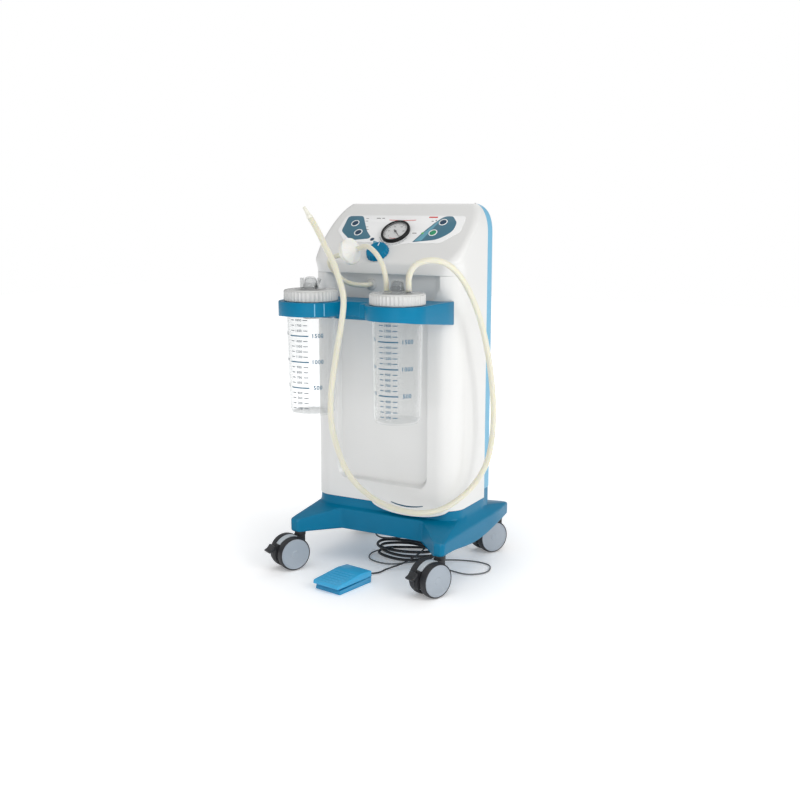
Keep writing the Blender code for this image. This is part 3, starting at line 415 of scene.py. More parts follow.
def solid_from(drawing, name, matrix=None, angle=SHARP_ANGLE):
    """A mesh object from a curve or text object, which is then removed."""
    bpy.context.view_layer.update()
    graph = bpy.context.evaluated_depsgraph_get()
    mesh = bpy.data.meshes.new_from_object(drawing.evaluated_get(graph))
    mesh.materials.clear()
    mesh.transform(drawing.matrix_world)
    bpy.data.objects.remove(drawing, do_unlink=True)
    bm = bmesh.new()
    bm.from_mesh(mesh)
    bmesh.ops.remove_doubles(bm, verts=bm.verts, dist=0.000002)
    obj = finished(bm, name, angle)
    if matrix is not None:
        obj.data.transform(matrix)
    return obj


def smooth_path(points, steps):
    """A Catmull-Rom path through the points, with this many steps between neighbours."""
    corners = [Vector(point) for point in points]
    corners = [corners[0] * 2.0 - corners[1], *corners, corners[-1] * 2.0 - corners[-2]]
    path = []
    for index in range(1, len(corners) - 2):
        before, here, there, after = corners[index - 1 : index + 3]
        for step in range(steps):
            t = step / steps
            bend = (2.0 * before - 5.0 * here + 4.0 * there - after) * t**2
            twist = (3.0 * here - before - 3.0 * there + after) * t**3
            path.append(0.5 * (2.0 * here + (there - before) * t + bend + twist))
    path.append(corners[-2])
    return path


def relaxed(path, rounds=3):
    """The path with its small kinks eased out, its ends kept."""
    for _round in range(rounds):
        middle = [(a + b * 2.0 + c) / 4.0 for a, b, c in zip(path, path[1:], path[2:])]
        path = [path[0], *middle, path[-1]]
    return path


def sweep(name, path, radius, inner=0.0, sides=20):
    """A round tube along a path, hollow when inner is given."""
    tangents = [(b - a).normalized() for a, b in zip(path, path[1:])]
    tangents.append(tangents[-1])
    side = tangents[0].orthogonal().normalized()
    frames = []
    for tangent in tangents:
        side = (side - tangent * side.dot(tangent)).normalized()
        frames.append((side.copy(), tangent.cross(side)))

    def ring(index, size):
        across, over = frames[index]
        turn = [2.0 * math.pi * step / sides for step in range(sides)]
        return [path[index] + (across * math.cos(a) + over * math.sin(a)) * size for a in turn]

    rings = [ring(index, radius) for index in range(len(path))]
    if inner <= 0.0:
        return loft(name, rings, angle=50.0)
    rings += [ring(index, inner) for index in reversed(range(len(path)))]
    rings.append(rings[0])
    obj = loft(name, rings, angle=50.0, cap=False)
    bm = bmesh.new()
    bm.from_mesh(obj.data)
    bmesh.ops.remove_doubles(bm, verts=bm.verts, dist=0.000001)
    bmesh.ops.recalc_face_normals(bm, faces=bm.faces)
    bm.to_mesh(obj.data)
    bm.free()
    return obj


def joined(name, objects):
    """One object from several, each of which keeps its shape."""
    bm = bmesh.new()
    for obj in objects:
        mesh = obj.data
        mesh.transform(obj.matrix_world)
        bm.from_mesh(mesh)
        bpy.data.objects.remove(obj, do_unlink=True)
    mesh = bpy.data.meshes.new(name)
    bm.to_mesh(mesh)
    bm.free()
    mesh.materials.clear()
    obj = bpy.data.objects.new(name, mesh)
    bpy.context.scene.collection.objects.link(obj)
    return obj


def cut(target, tools):
    """The target with the tools' shapes taken out of it."""
    tool = joined(target.name + "_tool", tools)
    modifier = target.modifiers.new("cut", "BOOLEAN")
    modifier.operation = "DIFFERENCE"
    modifier.object = tool
    bpy.context.view_layer.update()
    graph = bpy.context.evaluated_depsgraph_get()
    mesh = bpy.data.meshes.new_from_object(target.evaluated_get(graph))
    target.modifiers.clear()
    target.data = mesh
    mesh.shade_smooth()
    mesh.set_sharp_from_angle(angle=math.radians(SHARP_ANGLE))
    bpy.data.objects.remove(tool, do_unlink=True)
    return target


def lettering(name, text, size, thickness=0.0001, matrix=None, bold=0.0):
    """Flat raised figures, centred on their place."""
    curve = bpy.data.curves.new(name, "FONT")
    curve.body = text
    curve.size = size
    curve.align_x = "CENTER"
    curve.align_y = "CENTER"
    curve.extrude = thickness / 2.0
    curve.resolution_u = 3
    curve.offset = bold
    curve.space_character = 1.12
    drawing = bpy.data.objects.new(name + "_text", curve)
    bpy.context.scene.collection.objects.link(drawing)
    return solid_from(drawing, name, matrix)


def on_panel(x, up, out=0.0):
    """The matrix of a place on the tilted panel: local X to the right, Y up the slope, Z out of it."""
    matrix = Matrix((Vector((1.0, 0.0, 0.0)), PANEL_UP, PANEL_NORMAL)).transposed().to_4x4()
    matrix.translation = PANEL_ORIGIN + Vector((x, 0.0, 0.0)) + PANEL_UP * up + PANEL_NORMAL * out
    return matrix


def ease(value):
    value = min(1.0, max(0.0, value))
    return value * value * (3.0 - 2.0 * value)


# Turns of a flat outline: one stands it up to face the front, the other to face the side
UPRIGHT = Matrix(((1, 0, 0, 0), (0, 0, -1, 0), (0, 1, 0, 0), (0, 0, 0, 1)))
SIDEWAYS = Matrix(((0, 0, 1, 0), (1, 0, 0, 0), (0, 1, 0, 0), (0, 0, 0, 1)))


# Housing


def half_width(z):
    rise = min(1.0, max(0.0, (z - SHOULDER_Z) / (BODY_TOP - SHOULDER_Z)))
    return TOP_HALF_WIDTH + (BODY_HALF_WIDTH - TOP_HALF_WIDTH) * math.sqrt(max(0.0, 1.0 - rise**2))


def flank_radius(z):
    return FLANK_RADIUS + (0.014 - FLANK_RADIUS) * ease((z - 0.690) / 0.075)


def recess(x, z):
    """How far the shallow bay behind the jars is sunk at a place on the front."""
    if z > RECESS_TOP:
        lip = 0.0022
        drop = z - RECESS_TOP
        return lip * (1.0 - math.sqrt(max(0.0, 1.0 - (1.0 - min(1.0, drop / lip)) ** 2)))
    widening = ease((z - 0.598) / 0.078)
    side = RECESS_HALF + 0.030 * widening - abs(x)
    bottom = z - RECESS_LOW
    corner = 0.026
    if side < corner and bottom < corner:
        inside = corner - math.hypot(corner - side, corner - bottom)
    else:
        inside = min(side, bottom)
    return RECESS_DEPTH * ease(inside / (0.006 + 0.012 * widening))


def belly(x, z):
    """How far the rounded bulge low on the front stands out."""
    across = (x - BELLY_X) / BELLY_HALF
    return 0.0100 * math.sqrt(max(0.0, 1.0 - across**2)) ** 1.5 * (1.0 - ease((z - 0.160) / 0.075))


def sag(x):
    """How far the front shell's lower edge hangs down at the belly."""
    across = (x - BELLY_X) / 0.098
    return 0.0185 * math.sqrt(max(0.0, 1.0 - across**2)) ** 1.2


def front_profile():
    """The front's centre line, from the lower edge up the slope and over the crest, as (y, z)."""
    slope_low = PANEL_ORIGIN.z + (BODY_FRONT - PANEL_ORIGIN.y) / PANEL_RUN
    slope_high = PANEL_ORIGIN.y + PANEL_RUN * (BODY_TOP - PANEL_ORIGIN.z)
    outline = [(BODY_FRONT, SHELL_BOTTOM), (BODY_FRONT, slope_low, 0.009)]
    outline += [(slope_high - 0.001, BODY_TOP - 0.0002, 0.026), (BODY_SPLIT, BODY_TOP)]
    corners = fillet(outline, 0.0, steps=10)
    profile = [
        (BODY_FRONT, SHELL_BOTTOM + 0.004 * step) for step in range(int((RECESS_TOP - SHELL_BOTTOM) / 0.004))
    ]
    profile += [(BODY_FRONT, RECESS_TOP - 0.0016), (BODY_FRONT, RECESS_TOP)]
    profile += [(BODY_FRONT, RECESS_TOP + 0.0001), (BODY_FRONT, RECESS_TOP + 0.0006)]
    profile += [(BODY_FRONT, RECESS_TOP + 0.0012), (BODY_FRONT, RECESS_TOP + 0.0022)]
    profile += [(BODY_FRONT, RECESS_TOP + 0.008)]
    profile += corners[1:12]
    start = Vector(corners[11])
    end = Vector(corners[12])
    for step in range(1, 24):
        profile.append(tuple(start.lerp(end, step / 24.0)))
    profile += corners[12:]
    return profile


def shell_section(z, width, open_y, closed_y, radius, across, turn_steps=10, flank_steps=5):
    """A level ring, square at open_y and rounded at closed_y, with points spread across its flat."""
    side = math.copysign(1.0, closed_y - open_y)
    depth = abs(closed_y - open_y)
    radius = max(0.0004, min(radius, depth * 0.96))
    ring = []
    for step in range(flank_steps):
        ring.append((-width, open_y + side * (depth - radius) * step / flank_steps, z))
    for index in range(turn_steps):
        angle = math.radians(180.0 - 90.0 * index / turn_steps)
        ring.append(
            (
                -(width - radius) + radius * math.cos(angle),
                closed_y - side * radius * (1 - math.sin(angle)), z,
            )
        )
    for share in across:
        ring.append((share * (width - radius), closed_y, z))
    for index in range(1, turn_steps + 1):
        angle = math.radians(90.0 - 90.0 * index / turn_steps)
        ring.append(
            ((width - radius) + radius * math.cos(angle), closed_y - side * radius * (1 - math.sin(angle)), z)
        )
    for step in reversed(range(flank_steps)):
        ring.append((width, open_y + side * (depth - radius) * step / flank_steps, z))
    return ring


def sheet(bm, rings):
    """An open sheet of faces through rings of equal length. Gives back its rows of vertices."""
    rows = [[bm.verts.new(point) for point in ring] for ring in rings]
    for below, above in zip(rows, rows[1:]):
        for index in range(len(below) - 1):
            bm.faces.new((below[index], below[index + 1], above[index + 1], above[index]))
    return rows


def front_cover():
    edge = RECESS_HALF / (BODY_HALF_WIDTH - FLANK_RADIUS)
    across = [-1.0 + 2.0 * step / 64 for step in range(65)]
    across += [side * (edge - 0.07 + 0.014 * step) for side in (-1.0, 1.0) for step in range(8)]
    across = sorted(set(round(share, 4) for share in across))
    rings = []
    for y, z in front_profile():
        ring = []
        for px, py, pz in shell_section(z, half_width(z), BODY_SPLIT, y, flank_radius(z), across):
            if py < -0.050 and z < 0.712:
                py += recess(px, z) - belly(px, z)
                fade = 1.0 - ease((z - SHELL_BOTTOM) / 0.060)
                pz -= sag(px) * fade
            ring.append((px, py, pz))
        rings.append(ring)
    bm = bmesh.new()
    sheet(bm, rings)
    bmesh.ops.remove_doubles(bm, verts=bm.verts, dist=0.00002)
    shell = finished(bm, "front_cover")
    thick = shell.modifiers.new("wall", "SOLIDIFY")
    thick.thickness = SHELL_WALL
    thick.offset = -1.0
    thick.use_even_offset = False
    tools = []
    bores = {"gauge": (0.0, 0.0, GAUGE_BORE), **LAMP_BORES, **BUTTON_BORES}
    for name, (x, up, radius) in bores.items():
        hole = [(0, -0.02), (radius, -0.02), (radius, 0.01), (0, 0.01)]
        tools.append(lathe(name + "_bore", hole, 40, on_panel(x, up)))
    spindle = [(0, -0.02), (0.0036, -0.02), (0.0036, 0.01), (0, 0.01)]
    tools.append(lathe("spindle", spindle, 24, on_panel(*KNOB_PLACE)))
    turn = Matrix.Translation(PORT_PLACE) @ Matrix.Rotation(math.radians(90.0), 4, "X")
    tools.append(lathe("port_bore", [(0, -0.01), (0.0083, -0.01), (0.0083, 0.01), (0, 0.01)], 32, turn))
    tools.append(slot_shape("slot_tool", 0.0, -0.1150, -0.1040))
    cut(shell, tools)
    settle(shell, "white", "trolley", "white_plastic", "front_shell")
    # A dark blue sheet closing the back of the finger slot: painted shade for the slot's shadowed inside.
    inlay = slot_shape("slot_shade_inlay", 0.0002, -0.1046, -0.1036)
    settle(inlay, "slot_blue_painted_shade", "trolley", "blue_plastic")


def slot_shape(name, grow, front, back):
    """The crescent finger slot under the belly's widest part, between two depths."""
    upper = arc((0.0705, 0.353), 0.1840 + grow, 257.0, 283.5, 14)
    lower = arc((0.0705, 0.2965), 0.1310 - grow, 288.5, 251.8, 14)
    lower = [(x, z - 2.0 * grow) for x, z in lower]
    return prism(name, upper + lower, -back, -front, 0.00005, UPRIGHT)


def rear_cover():
    levels = [REAR_BOTTOM, REAR_BOTTOM + 0.002]
    levels += [REAR_BOTTOM + 0.002 + (SHOULDER_Z - 0.004 - REAR_BOTTOM) * step / 20 for step in range(1, 21)]
    levels += [
        SHOULDER_Z + (BODY_TOP - SHOULDER_Z) * math.sin(math.pi / 2 * step / 18) for step in range(1, 19)
    ]
    across = [-1.0 + 2.0 * step / 30 for step in range(31)]
    rings = []
    for level, z in enumerate(levels):
        drop = max(0.0, (z - 0.815) / (BODY_TOP - 0.815))
        back = BODY_REAR - 0.026 * (1.0 - math.sqrt(max(0.0, 1.0 - drop**2)))
        width = half_width(z) - (0.0008 if level == 0 else 0.0)
        rings.append(shell_section(z, width, BODY_SPLIT + GAP, back, 0.024, across))
    bm = bmesh.new()
    top = sheet(bm, rings)[-1]
    half = len(top) // 2
    for index in range(half - 1):
        bm.faces.new((top[index], top[index + 1], top[-index - 2], top[-index - 1]))
    if len(top) % 2:
        bm.faces.new((top[half - 1], top[half], top[half + 1]))
    shell = finished(bm, "rear_cover")
    thick = shell.modifiers.new("wall", "SOLIDIFY")
    thick.thickness = SHELL_WALL
    thick.offset = -1.0
    tools = []
    for row in range(6):
        z = 0.603 + 0.016 * row
        slot = arc((-0.067, z), 0.003, 90.0, 270.0, 6) + arc((0.067, z), 0.003, -90.0, 90.0, 6)
        tools.append(prism(f"vent_{row}", slot, -0.115, -0.090, 0.00005, UPRIGHT))
    window = fillet(
        [(0.0545, 0.2245), (0.1055, 0.2245), (0.1055, 0.2555), (0.0545, 0.2555)], 0.002, 3, closed=True
    )
    tools.append(prism("window", window, -0.115, -0.085, 0.00005, UPRIGHT))
    cut(shell, tools)
    settle(shell, "rear_blue", "trolley", "pale_blue_plastic", "rear_shell")
    screws = []
    for x, z in (
        (-0.150, 0.215), (0.150, 0.215), (-0.150, 0.740), (0.150, 0.740), (-0.150, 0.480), (0.150, 0.480)
    ):
        turn = Matrix.Translation((x, BODY_REAR, z)) @ Matrix.Rotation(math.radians(-90.0), 4, "X")
        head = [
            (0.0, 0.0006), (0.0012, 0.0006), (0.0018, 0.0018), (0.0034, 0.0014), (0.0040, 0.0003),
            (0.0040, -0.0005),
        ]
        screws.append(lathe(f"screw_{x:+.2f}_{z:.2f}", [*head, (0.0, -0.0005)], 24, turn))
    settle(joined("rear_screws", screws), "steel", "trolley", "steel")


def base_cover():
    """The four-legged base: a coarse cage with creased edges, subdivided."""

    def quarter(front):
        sign = -1.0 if front else 1.0
        valley = -0.103 if front else 0.112
        riser = 0.093 if front else 0.100
        depth = 0.182 if front else 0.205
        corner = 0.203 if front else 0.192
        wall = [(0.0, valley, 0.137), (0.050, valley, 0.137), (0.110, valley, 0.137)]
        wall += [(corner - 0.055, sign * (depth - 0.0395), 0.127), (corner - 0.022, sign * depth, 0.118)]
        wall += [(corner - 0.006, sign * (depth - 0.0005), 0.118), (corner, sign * (depth - 0.007), 0.118)]
        wall += [(0.203, sign * 0.120, 0.118), (0.203, sign * 0.060, 0.118)]
        crown = [(0.0, riser), (0.050, riser), (0.118, riser), (0.151, riser - 0.001), (0.166, riser - 0.006)]
        crown += [
            (0.176, riser - 0.013), (0.184, riser - 0.024), (0.1875, riser - 0.036), (0.188, riser - 0.055)
        ]
        return wall, [(x, sign * y) for x, y in crown]

    front_wall, front_crown = quarter(True)
    rear_wall, rear_crown = quarter(False)
    wall = [*front_wall, (0.203, 0.0, 0.118), *reversed(rear_wall)]
    crown = [*front_crown, (0.188, 0.0), *reversed(rear_crown)]
    wall += [(-x, y, z) for x, y, z in reversed(wall[1:-1])]
    crown += [(-x, y) for x, y in reversed(crown[1:-1])]

    def foot(x, y):
        """The lower edge's height: it sags along each side between the castors."""
        along = (y + 0.118) / 0.240
        if abs(x) > 0.19 and 0.0 < along < 1.0:
            return 0.088 - 0.014 * math.sin(math.pi * along)
        return 0.088

    rings = [
        [(x * 0.90, y * 0.90, 0.0885) for x, y, _z in wall],
        [(x * 0.985, y * 0.985, foot(x, y) + 0.0002) for x, y, _z in wall],
        [(x * 0.999, y * 0.999, foot(x, y) + 0.003) for x, y, _z in wall],
        wall,
        [(x * 1.010, y * 1.003, 0.1425) for x, y in crown],
        [(x, y, 0.1640) for x, y in crown],
        [(x * 0.97, y * 0.97, SHELL_BOTTOM - GAP) for x, y in crown],
    ]
    obj = loft("base_cover", rings, angle=60.0)
    mesh = obj.data
    creases = mesh.attributes.new("crease_edge", "FLOAT", "EDGE")
    bm = bmesh.new()
    bm.from_mesh(mesh)
    layer = bm.edges.layers.float.get("crease_edge")
    for edge in bm.edges:
        if len(edge.link_faces) == 2 and edge.calc_face_angle(0.0) > math.radians(24.0):
            edge[layer] = 0.78
    bm.to_mesh(mesh)
    bm.free()
    fine = obj.modifiers.new("fine", "SUBSURF")
    fine.levels = 3
    fine.render_levels = 3
    settle(obj, "blue", "trolley", "blue_plastic", "base_moulding")
    outline = [
        (-0.188, BODY_SPLIT + 0.0006), (0.188, BODY_SPLIT + 0.0006), (0.188, 0.1, 0.022), (-0.188, 0.1, 0.022)
    ]
    riser = prism("base_rear_riser", fillet(outline, 0.0, 8, closed=True), 0.140, REAR_BOTTOM - GAP, 0.0012)
    settle(riser, "blue", "trolley", "blue_plastic")


# Control panel


def flat_on_panel(name, points, look, height, thickness=0.00012, radius=0.0, slot="white_plastic"):
    outline = fillet(points, radius, 5, closed=True) if radius else points
    piece = prism(name, outline, height, height + thickness, 0.00002, on_panel(0.0, 0.0), steps=1)
    return settle(piece, look, "trolley", slot)


def radial_bar(azimuth, near, far, half):
    """The outline of a tick that points away from the middle, between two radii."""
    angle = math.radians(azimuth)
    outward = Vector((math.cos(angle), math.sin(angle)))
    along = Vector((-outward.y, outward.x)) * half
    corners = (outward * near - along, outward * far - along, outward * far + along, outward * near + along)
    return [tuple(corner) for corner in corners]


def control_panel():
    border = [
        (-0.158, 0.058, 0.012), (-0.160, 0.006, 0.008), (-0.124, -0.032, 0.010), (-0.043, -0.034, 0.010)
    ]
    rim = arc((0.0, 0.0), 0.0455, 232.0, 308.0, 12)
    border += [(x, y, 0.0) for x, y in rim[1:-1]]
    border += [(0.043, -0.034, 0.010), (0.124, -0.032, 0.010)]
    border += [(0.160, 0.006, 0.008), (0.158, 0.058, 0.012)]
    outline = fillet(border, 0.0, 5, closed=True)
    holes = [arc((x, up), radius, 360.0, 0.0, 40)[:-1] for x, up, radius in BUTTON_BORES.values()]
    holes.append(arc((0.0, 0.0), GAUGE_BORE, 360.0, 0.0, 72)[:-1])
    holes += [arc((x, up), radius, 360.0, 0.0, 32)[:-1] for x, up, radius in LAMP_BORES.values()]
    overlay = prism("panel_overlay", outline, GAP, OVERLAY_TOP, 0.0002, on_panel(0.0, 0.0), holes)
    knob_space = [(0, -0.01), (KNOB_RADIUS + 0.0015, -0.01), (KNOB_RADIUS + 0.0015, 0.01), (0, 0.01)]
    cut(overlay, [lathe("knob_space", knob_space, 64, on_panel(*KNOB_PLACE))])
    settle(overlay, "overlay", "trolley", "white_plastic", "control_panel")
    ink = OVERLAY_TOP + 0.00002
    left = [(-0.151, 0.0550, 0.010), (-0.111, 0.0560, 0.008), (-0.095, 0.030, 0.006), (-0.079, 0.004, 0.02)]
    left += [
        (-0.060, -0.0150, 0.004), (-0.064, -0.0215, 0.003), (-0.092, -0.0255, 0.01), (-0.110, -0.028, 0.01)
    ]
    left += [(-0.148, 0.003, 0.008)]
    flat_on_panel("left_printed_field", fillet(left, 0.0, 5, closed=True), "teal", ink)
    right = [(0.054, -0.0305, 0.003), (0.070, 0.006, 0.02), (0.091, 0.041, 0.02), (0.104, 0.0560, 0.008)]
    right += [(0.124, 0.0565, 0.006), (0.141, 0.036, 0.006), (0.143, 0.008, 0.02), (0.116, -0.021, 0.02)]
    flat_on_panel("right_printed_field", fillet(right, 0.0, 5, closed=True), "teal", ink)
    slip = [
        (0.058, -0.027, 0.002), (0.073, 0.004, 0.02), (0.094, 0.040, 0.02), (0.098, 0.042, 0.004),
        (0.075, -0.026, 0.002),
    ]
    flat_on_panel("right_pale_field", fillet(slip, 0.0, 5, closed=True), "pale_teal", ink + 0.00014)
    tail = [
        (-0.0475, -0.0275, 0.002), (-0.0375, -0.0305, 0.01), (-0.0255, -0.0385, 0.01),
        (-0.0440, -0.0385, 0.003),
    ]
    flat_on_panel("knob_leader", fillet(tail, 0.0, 5, closed=True), "pale_teal", ink)
    marks = []
    for x, up, length in (
        (-0.096, 0.047, 0.007), (-0.094, 0.038, 0.007), (-0.085, 0.018, 0.007), (-0.082, 0.009, 0.011)
    ):
        marks.append(("ink", x, up, length, 0.0013))
    for x, up, length in (
        (-0.066, 0.048, 0.011), (-0.053, 0.048, 0.007), (0.048, -0.001, 0.011), (0.079, 0.039, 0.005)
    ):
        marks.append(("ink", x, up, length, 0.0019))
    marks.append(("ink", 0.087, 0.042, 0.003, 0.0030))
    marks.append(("red_ink", 0.076, 0.0525, 0.022, 0.0042))
    for index, (look, x, up, length, height) in enumerate(marks):
        bar = [(x - length / 2, up - height / 2), (x + length / 2, up - height / 2)]
        bar += [(x + length / 2, up + height / 2), (x - length / 2, up + height / 2)]
        flat_on_panel(f"panel_mark_{index}", bar, look, ink)
    underline = [
        (-0.034, 0.0412), (0.0, 0.0398), (0.034, 0.0412), (0.036, 0.0432), (0.0, 0.0416), (-0.036, 0.0432)
    ]
    flat_on_panel("panel_red_line", underline, "red_ink", ink)
    for index, (size, start, end) in enumerate(((0.0385, 205.0, 335.0), (0.0425, 222.0, 318.0))):
        band = arc((0.0, 0.0), size, start, end, 40) + arc((0.0, 0.0), size - 0.0007, end, start, 40)
        flat_on_panel(f"gauge_leader_{index}", band, "grey_ink", ink)
    ticks = []
    for index in range(27):
        bar = radial_bar(205.0 + 5.0 * index, 0.0385, 0.0400 if index % 5 else 0.0410, 0.0003)
        ticks.append(
            prism(f"leader_tick_{index}", bar, ink, ink + 0.0001, 0.00002, on_panel(0.0, 0.0), steps=1)
        )
    settle(joined("gauge_leader_ticks", ticks), "grey_ink", "trolley", "black_plastic")


def gauge():
    place = on_panel(0.0, 0.0)
    seat = OVERLAY_TOP + GAP
    outer = [(0.0, 0.0020), (0.0292, 0.0020), (0.0292, 0.0086, 0.0006), (0.0305, 0.0094, 0.0010)]
    outer += [(0.0338, 0.0092, 0.0016), (0.0348, 0.0068, 0.001), (0.0348, seat), (0.0300, seat)]
    outer += [(0.0300, -0.026, 0.002), (0.026, -0.028, 0.002), (0.0, -0.028)]
    case = lathe("gauge_bezel", fillet(outer, 0.0, 4), 96, place)
    settle(case, "bezel", "trolley", "black_plastic", "gauge_case")
    dial = lathe("gauge_face", [(0.0, 0.0034), (0.0290, 0.0034), (0.0290, 0.0023), (0.0, 0.0023)], 96, place)
    settle(dial, "dial", "trolley", "dial_white", "gauge_dial")
    lens = [
        (0.0, 0.0088), (0.012, 0.0087), (0.022, 0.0085), (0.0288, 0.0082), (0.0290, 0.0074), (0.0, 0.0074)
    ]
    settle(lathe("gauge_glass", lens, 96, place), "lens", "trolley", "clear_plastic", "gauge_lens")
    ink = 0.00345
    bars = []
    start, sweep_angle, count = 225.0, 270.0, 50
    for index in range(count + 1):
        near, half = (0.0235, 0.00035) if index % 5 == 0 else (0.0252, 0.00018)
        bar = radial_bar(start - sweep_angle * index / count, near, 0.0272, half)
        bars.append(prism(f"tick_{index}", bar, ink, ink + 0.0001, 0.00002, place, steps=1))
    rim = arc((0.0, 0.0), 0.0276, 225.0, -45.0, 72) + arc((0.0, 0.0), 0.0272, -45.0, 225.0, 72)
    bars.append(prism("dial_arc", rim, ink, ink + 0.0001, 0.00002, place, steps=1))
    for index in range(6):
        angle = math.radians(start - sweep_angle * index / 5)
        spot = place @ Matrix.Translation((0.0192 * math.cos(angle), 0.0192 * math.sin(angle), ink))
        bars.append(lettering(f"dial_figure_{index}", str(index * 20), 0.0050, matrix=spot))
    settle(joined("dial_marks", bars), "ink", "trolley", "black_plastic")
    red = arc((0.0, 0.0), 0.0225, 246.0, 290.0, 16) + arc((0.0, 0.0), 0.0208, 290.0, 246.0, 16)
    settle(
        prism("dial_red_band", red, ink, ink + 0.0001, 0.00002, place, steps=1), "red_ink", "trolley",
        "dial_white",
    )
    turn = on_panel(0.0, 0.0, 0.0054) @ Matrix.Rotation(math.radians(-135.0), 4, "Z")
    blade = [
        (0.0, 0.0232), (-0.0005, 0.018), (-0.0012, 0.0), (-0.0019, -0.0078, 0.001), (0.0019, -0.0078, 0.001)
    ]
    blade += [(0.0012, 0.0), (0.0005, 0.018)]
    pointer = prism("needle_blade", fillet(blade, 0.0, 3, closed=True), -0.0003, 0.0003, 0.0001, turn)
    hub = fillet([(0.0, 0.0016), (0.0028, 0.0013, 0.0006), (0.0030, -0.0006), (0.0, -0.0006)], 0.0, 3)
    pointer = joined("needle_pointer", [pointer, lathe("needle_hub", hub, 32, turn)])
    settle(pointer, "ink", "needle", "black_plastic", "gauge_needle")


def buttons():
    for name, (x, up, bore) in BUTTON_BORES.items():
        radius = bore - 0.0003
        place = on_panel(x, up)
        dome = [(0.0, 0.0034), (radius * 0.55, 0.0033), (radius * 0.82, 0.0029), (radius, 0.0017)]
        dome += [(radius, -0.0040), (0.0, -0.0040)]
        cap = lathe(name + "_dome", fillet(dome, 0.0008, 4), 48, place)
        look = "green" if name == "power_button" else "navy"
        slot = "green_button" if name == "power_button" else "teal_button"
        settle(cap, look, name + "_cap", slot, name)
        base = OVERLAY_TOP + 0.0001
        ring = [
            (bore + 0.0001, base), (bore + 0.0024, base), (bore + 0.0022, base + 0.0008),
            (bore + 0.0004, base + 0.0010),
        ]
        ring = lathe(name + "_ring", fillet(ring, 0.0003, 3, closed=True), 48, place, closed=True)
        settle(ring, "ring_white", "trolley", "white_plastic")
    for name, look, slot in (
        ("left_indicator", "navy", "teal_button"), ("green_lamp", "lamp", "green_button")
    ):
        x, up, bore = LAMP_BORES[name]
        radius = bore - 0.0003
        dome = [
            (0.0, 0.0026), (radius * 0.6, 0.0023), (radius * 0.9, 0.0017), (radius, 0.0010), (radius, -0.0030)
        ]
        settle(
            lathe(name + "_dome", [*dome, (0.0, -0.0030)], 32, on_panel(x, up)), look, "trolley", slot, name
        )


def regulator():
    flutes = 20

    def fluted(angle, radius, height):
        if radius < 0.010 or height < 0.0005:
            return radius
        depth = 0.0011 * ease((0.0138 - height) / 0.003)
        return radius - depth * (0.5 - 0.5 * math.cos(flutes * angle)) ** 0.6

    size = KNOB_RADIUS
    skirt = [
        (0.0, 0.0006), (size, 0.0006), (size, 0.0028, 0.0005), (size * 0.97, 0.0032), (size * 0.93, 0.0100)
    ]
    skirt += [
        (size * 0.88, 0.0134, 0.002), (size * 0.80, 0.0142, 0.0015), (size * 0.30, 0.0136), (0.0, 0.0134)
    ]
    knob = lathe("knob_grip", fillet(skirt, 0.0006, 4), 240, on_panel(*KNOB_PLACE), ripple=fluted)
    spindle = [(0.0, 0.002), (0.003, 0.002), (0.003, -0.048), (0.0, -0.048)]
    rod = lathe("knob_rod", spindle, 24, on_panel(*KNOB_PLACE))
    settle(joined("knob_body", [knob, rod]), "blue", "knob", "blue_plastic", "regulator_knob")
    bar = fillet(
        [(-0.0009, 0.011), (0.0009, 0.011), (0.0009, 0.0205), (-0.0009, 0.0205)], 0.0004, 3, closed=True
    )
    mark = prism("knob_mark", bar, 0.0136, 0.0144, 0.0001, on_panel(*KNOB_PLACE), steps=1)
    settle(mark, "ring_white", "knob", "white_plastic")


# Jars


def jar_radius(z):
    """The jar's outer radius, which grows evenly from its foot to the holder."""
    return JAR_FOOT_RADIUS + JAR_TAPER * (z - JAR_TAPER_START) / (HOLDER_TOP - JAR_TAPER_START)


def wrapped(piece, number, azimuth, z):
    """Bends a flat print onto the jar's side, centred on an azimuth from the front towards +X."""
    centre = math.radians(azimuth)
    for vertex in piece.data.vertices:
        height = z + vertex.co.y
        radius = jar_radius(height) + 0.00012 + vertex.co.z
        angle = centre + vertex.co.x / radius
        vertex.co = (JAR_X[number] + radius * math.sin(angle), JAR_Y - radius * math.cos(angle), height)
    return piece


def print_bar(name, number, azimuth_from, azimuth_to, z, height):
    """A printed bar along the jar's side."""
    bm = bmesh.new()
    steps = 8
    rows = []
    for index in range(steps + 1):
        angle = math.radians(azimuth_from + (azimuth_to - azimuth_from) * index / steps)
        column = []
        for level in (z - height / 2, z + height / 2):
            for lift in (0.00002, 0.00012):
                radius = jar_radius(level) + lift
                spot = (JAR_X[number] + radius * math.sin(angle), JAR_Y - radius * math.cos(angle), level)
                column.append(bm.verts.new(spot))
        rows.append([column[0], column[1], column[3], column[2]])
    for left, right in zip(rows, rows[1:]):
        for index in range(4):
            following = (index + 1) % 4
            bm.faces.new((left[index], left[following], right[following], right[index]))
    bm.faces.new(rows[0])
    bm.faces.new(rows[-1])
    return finished(bm, name)


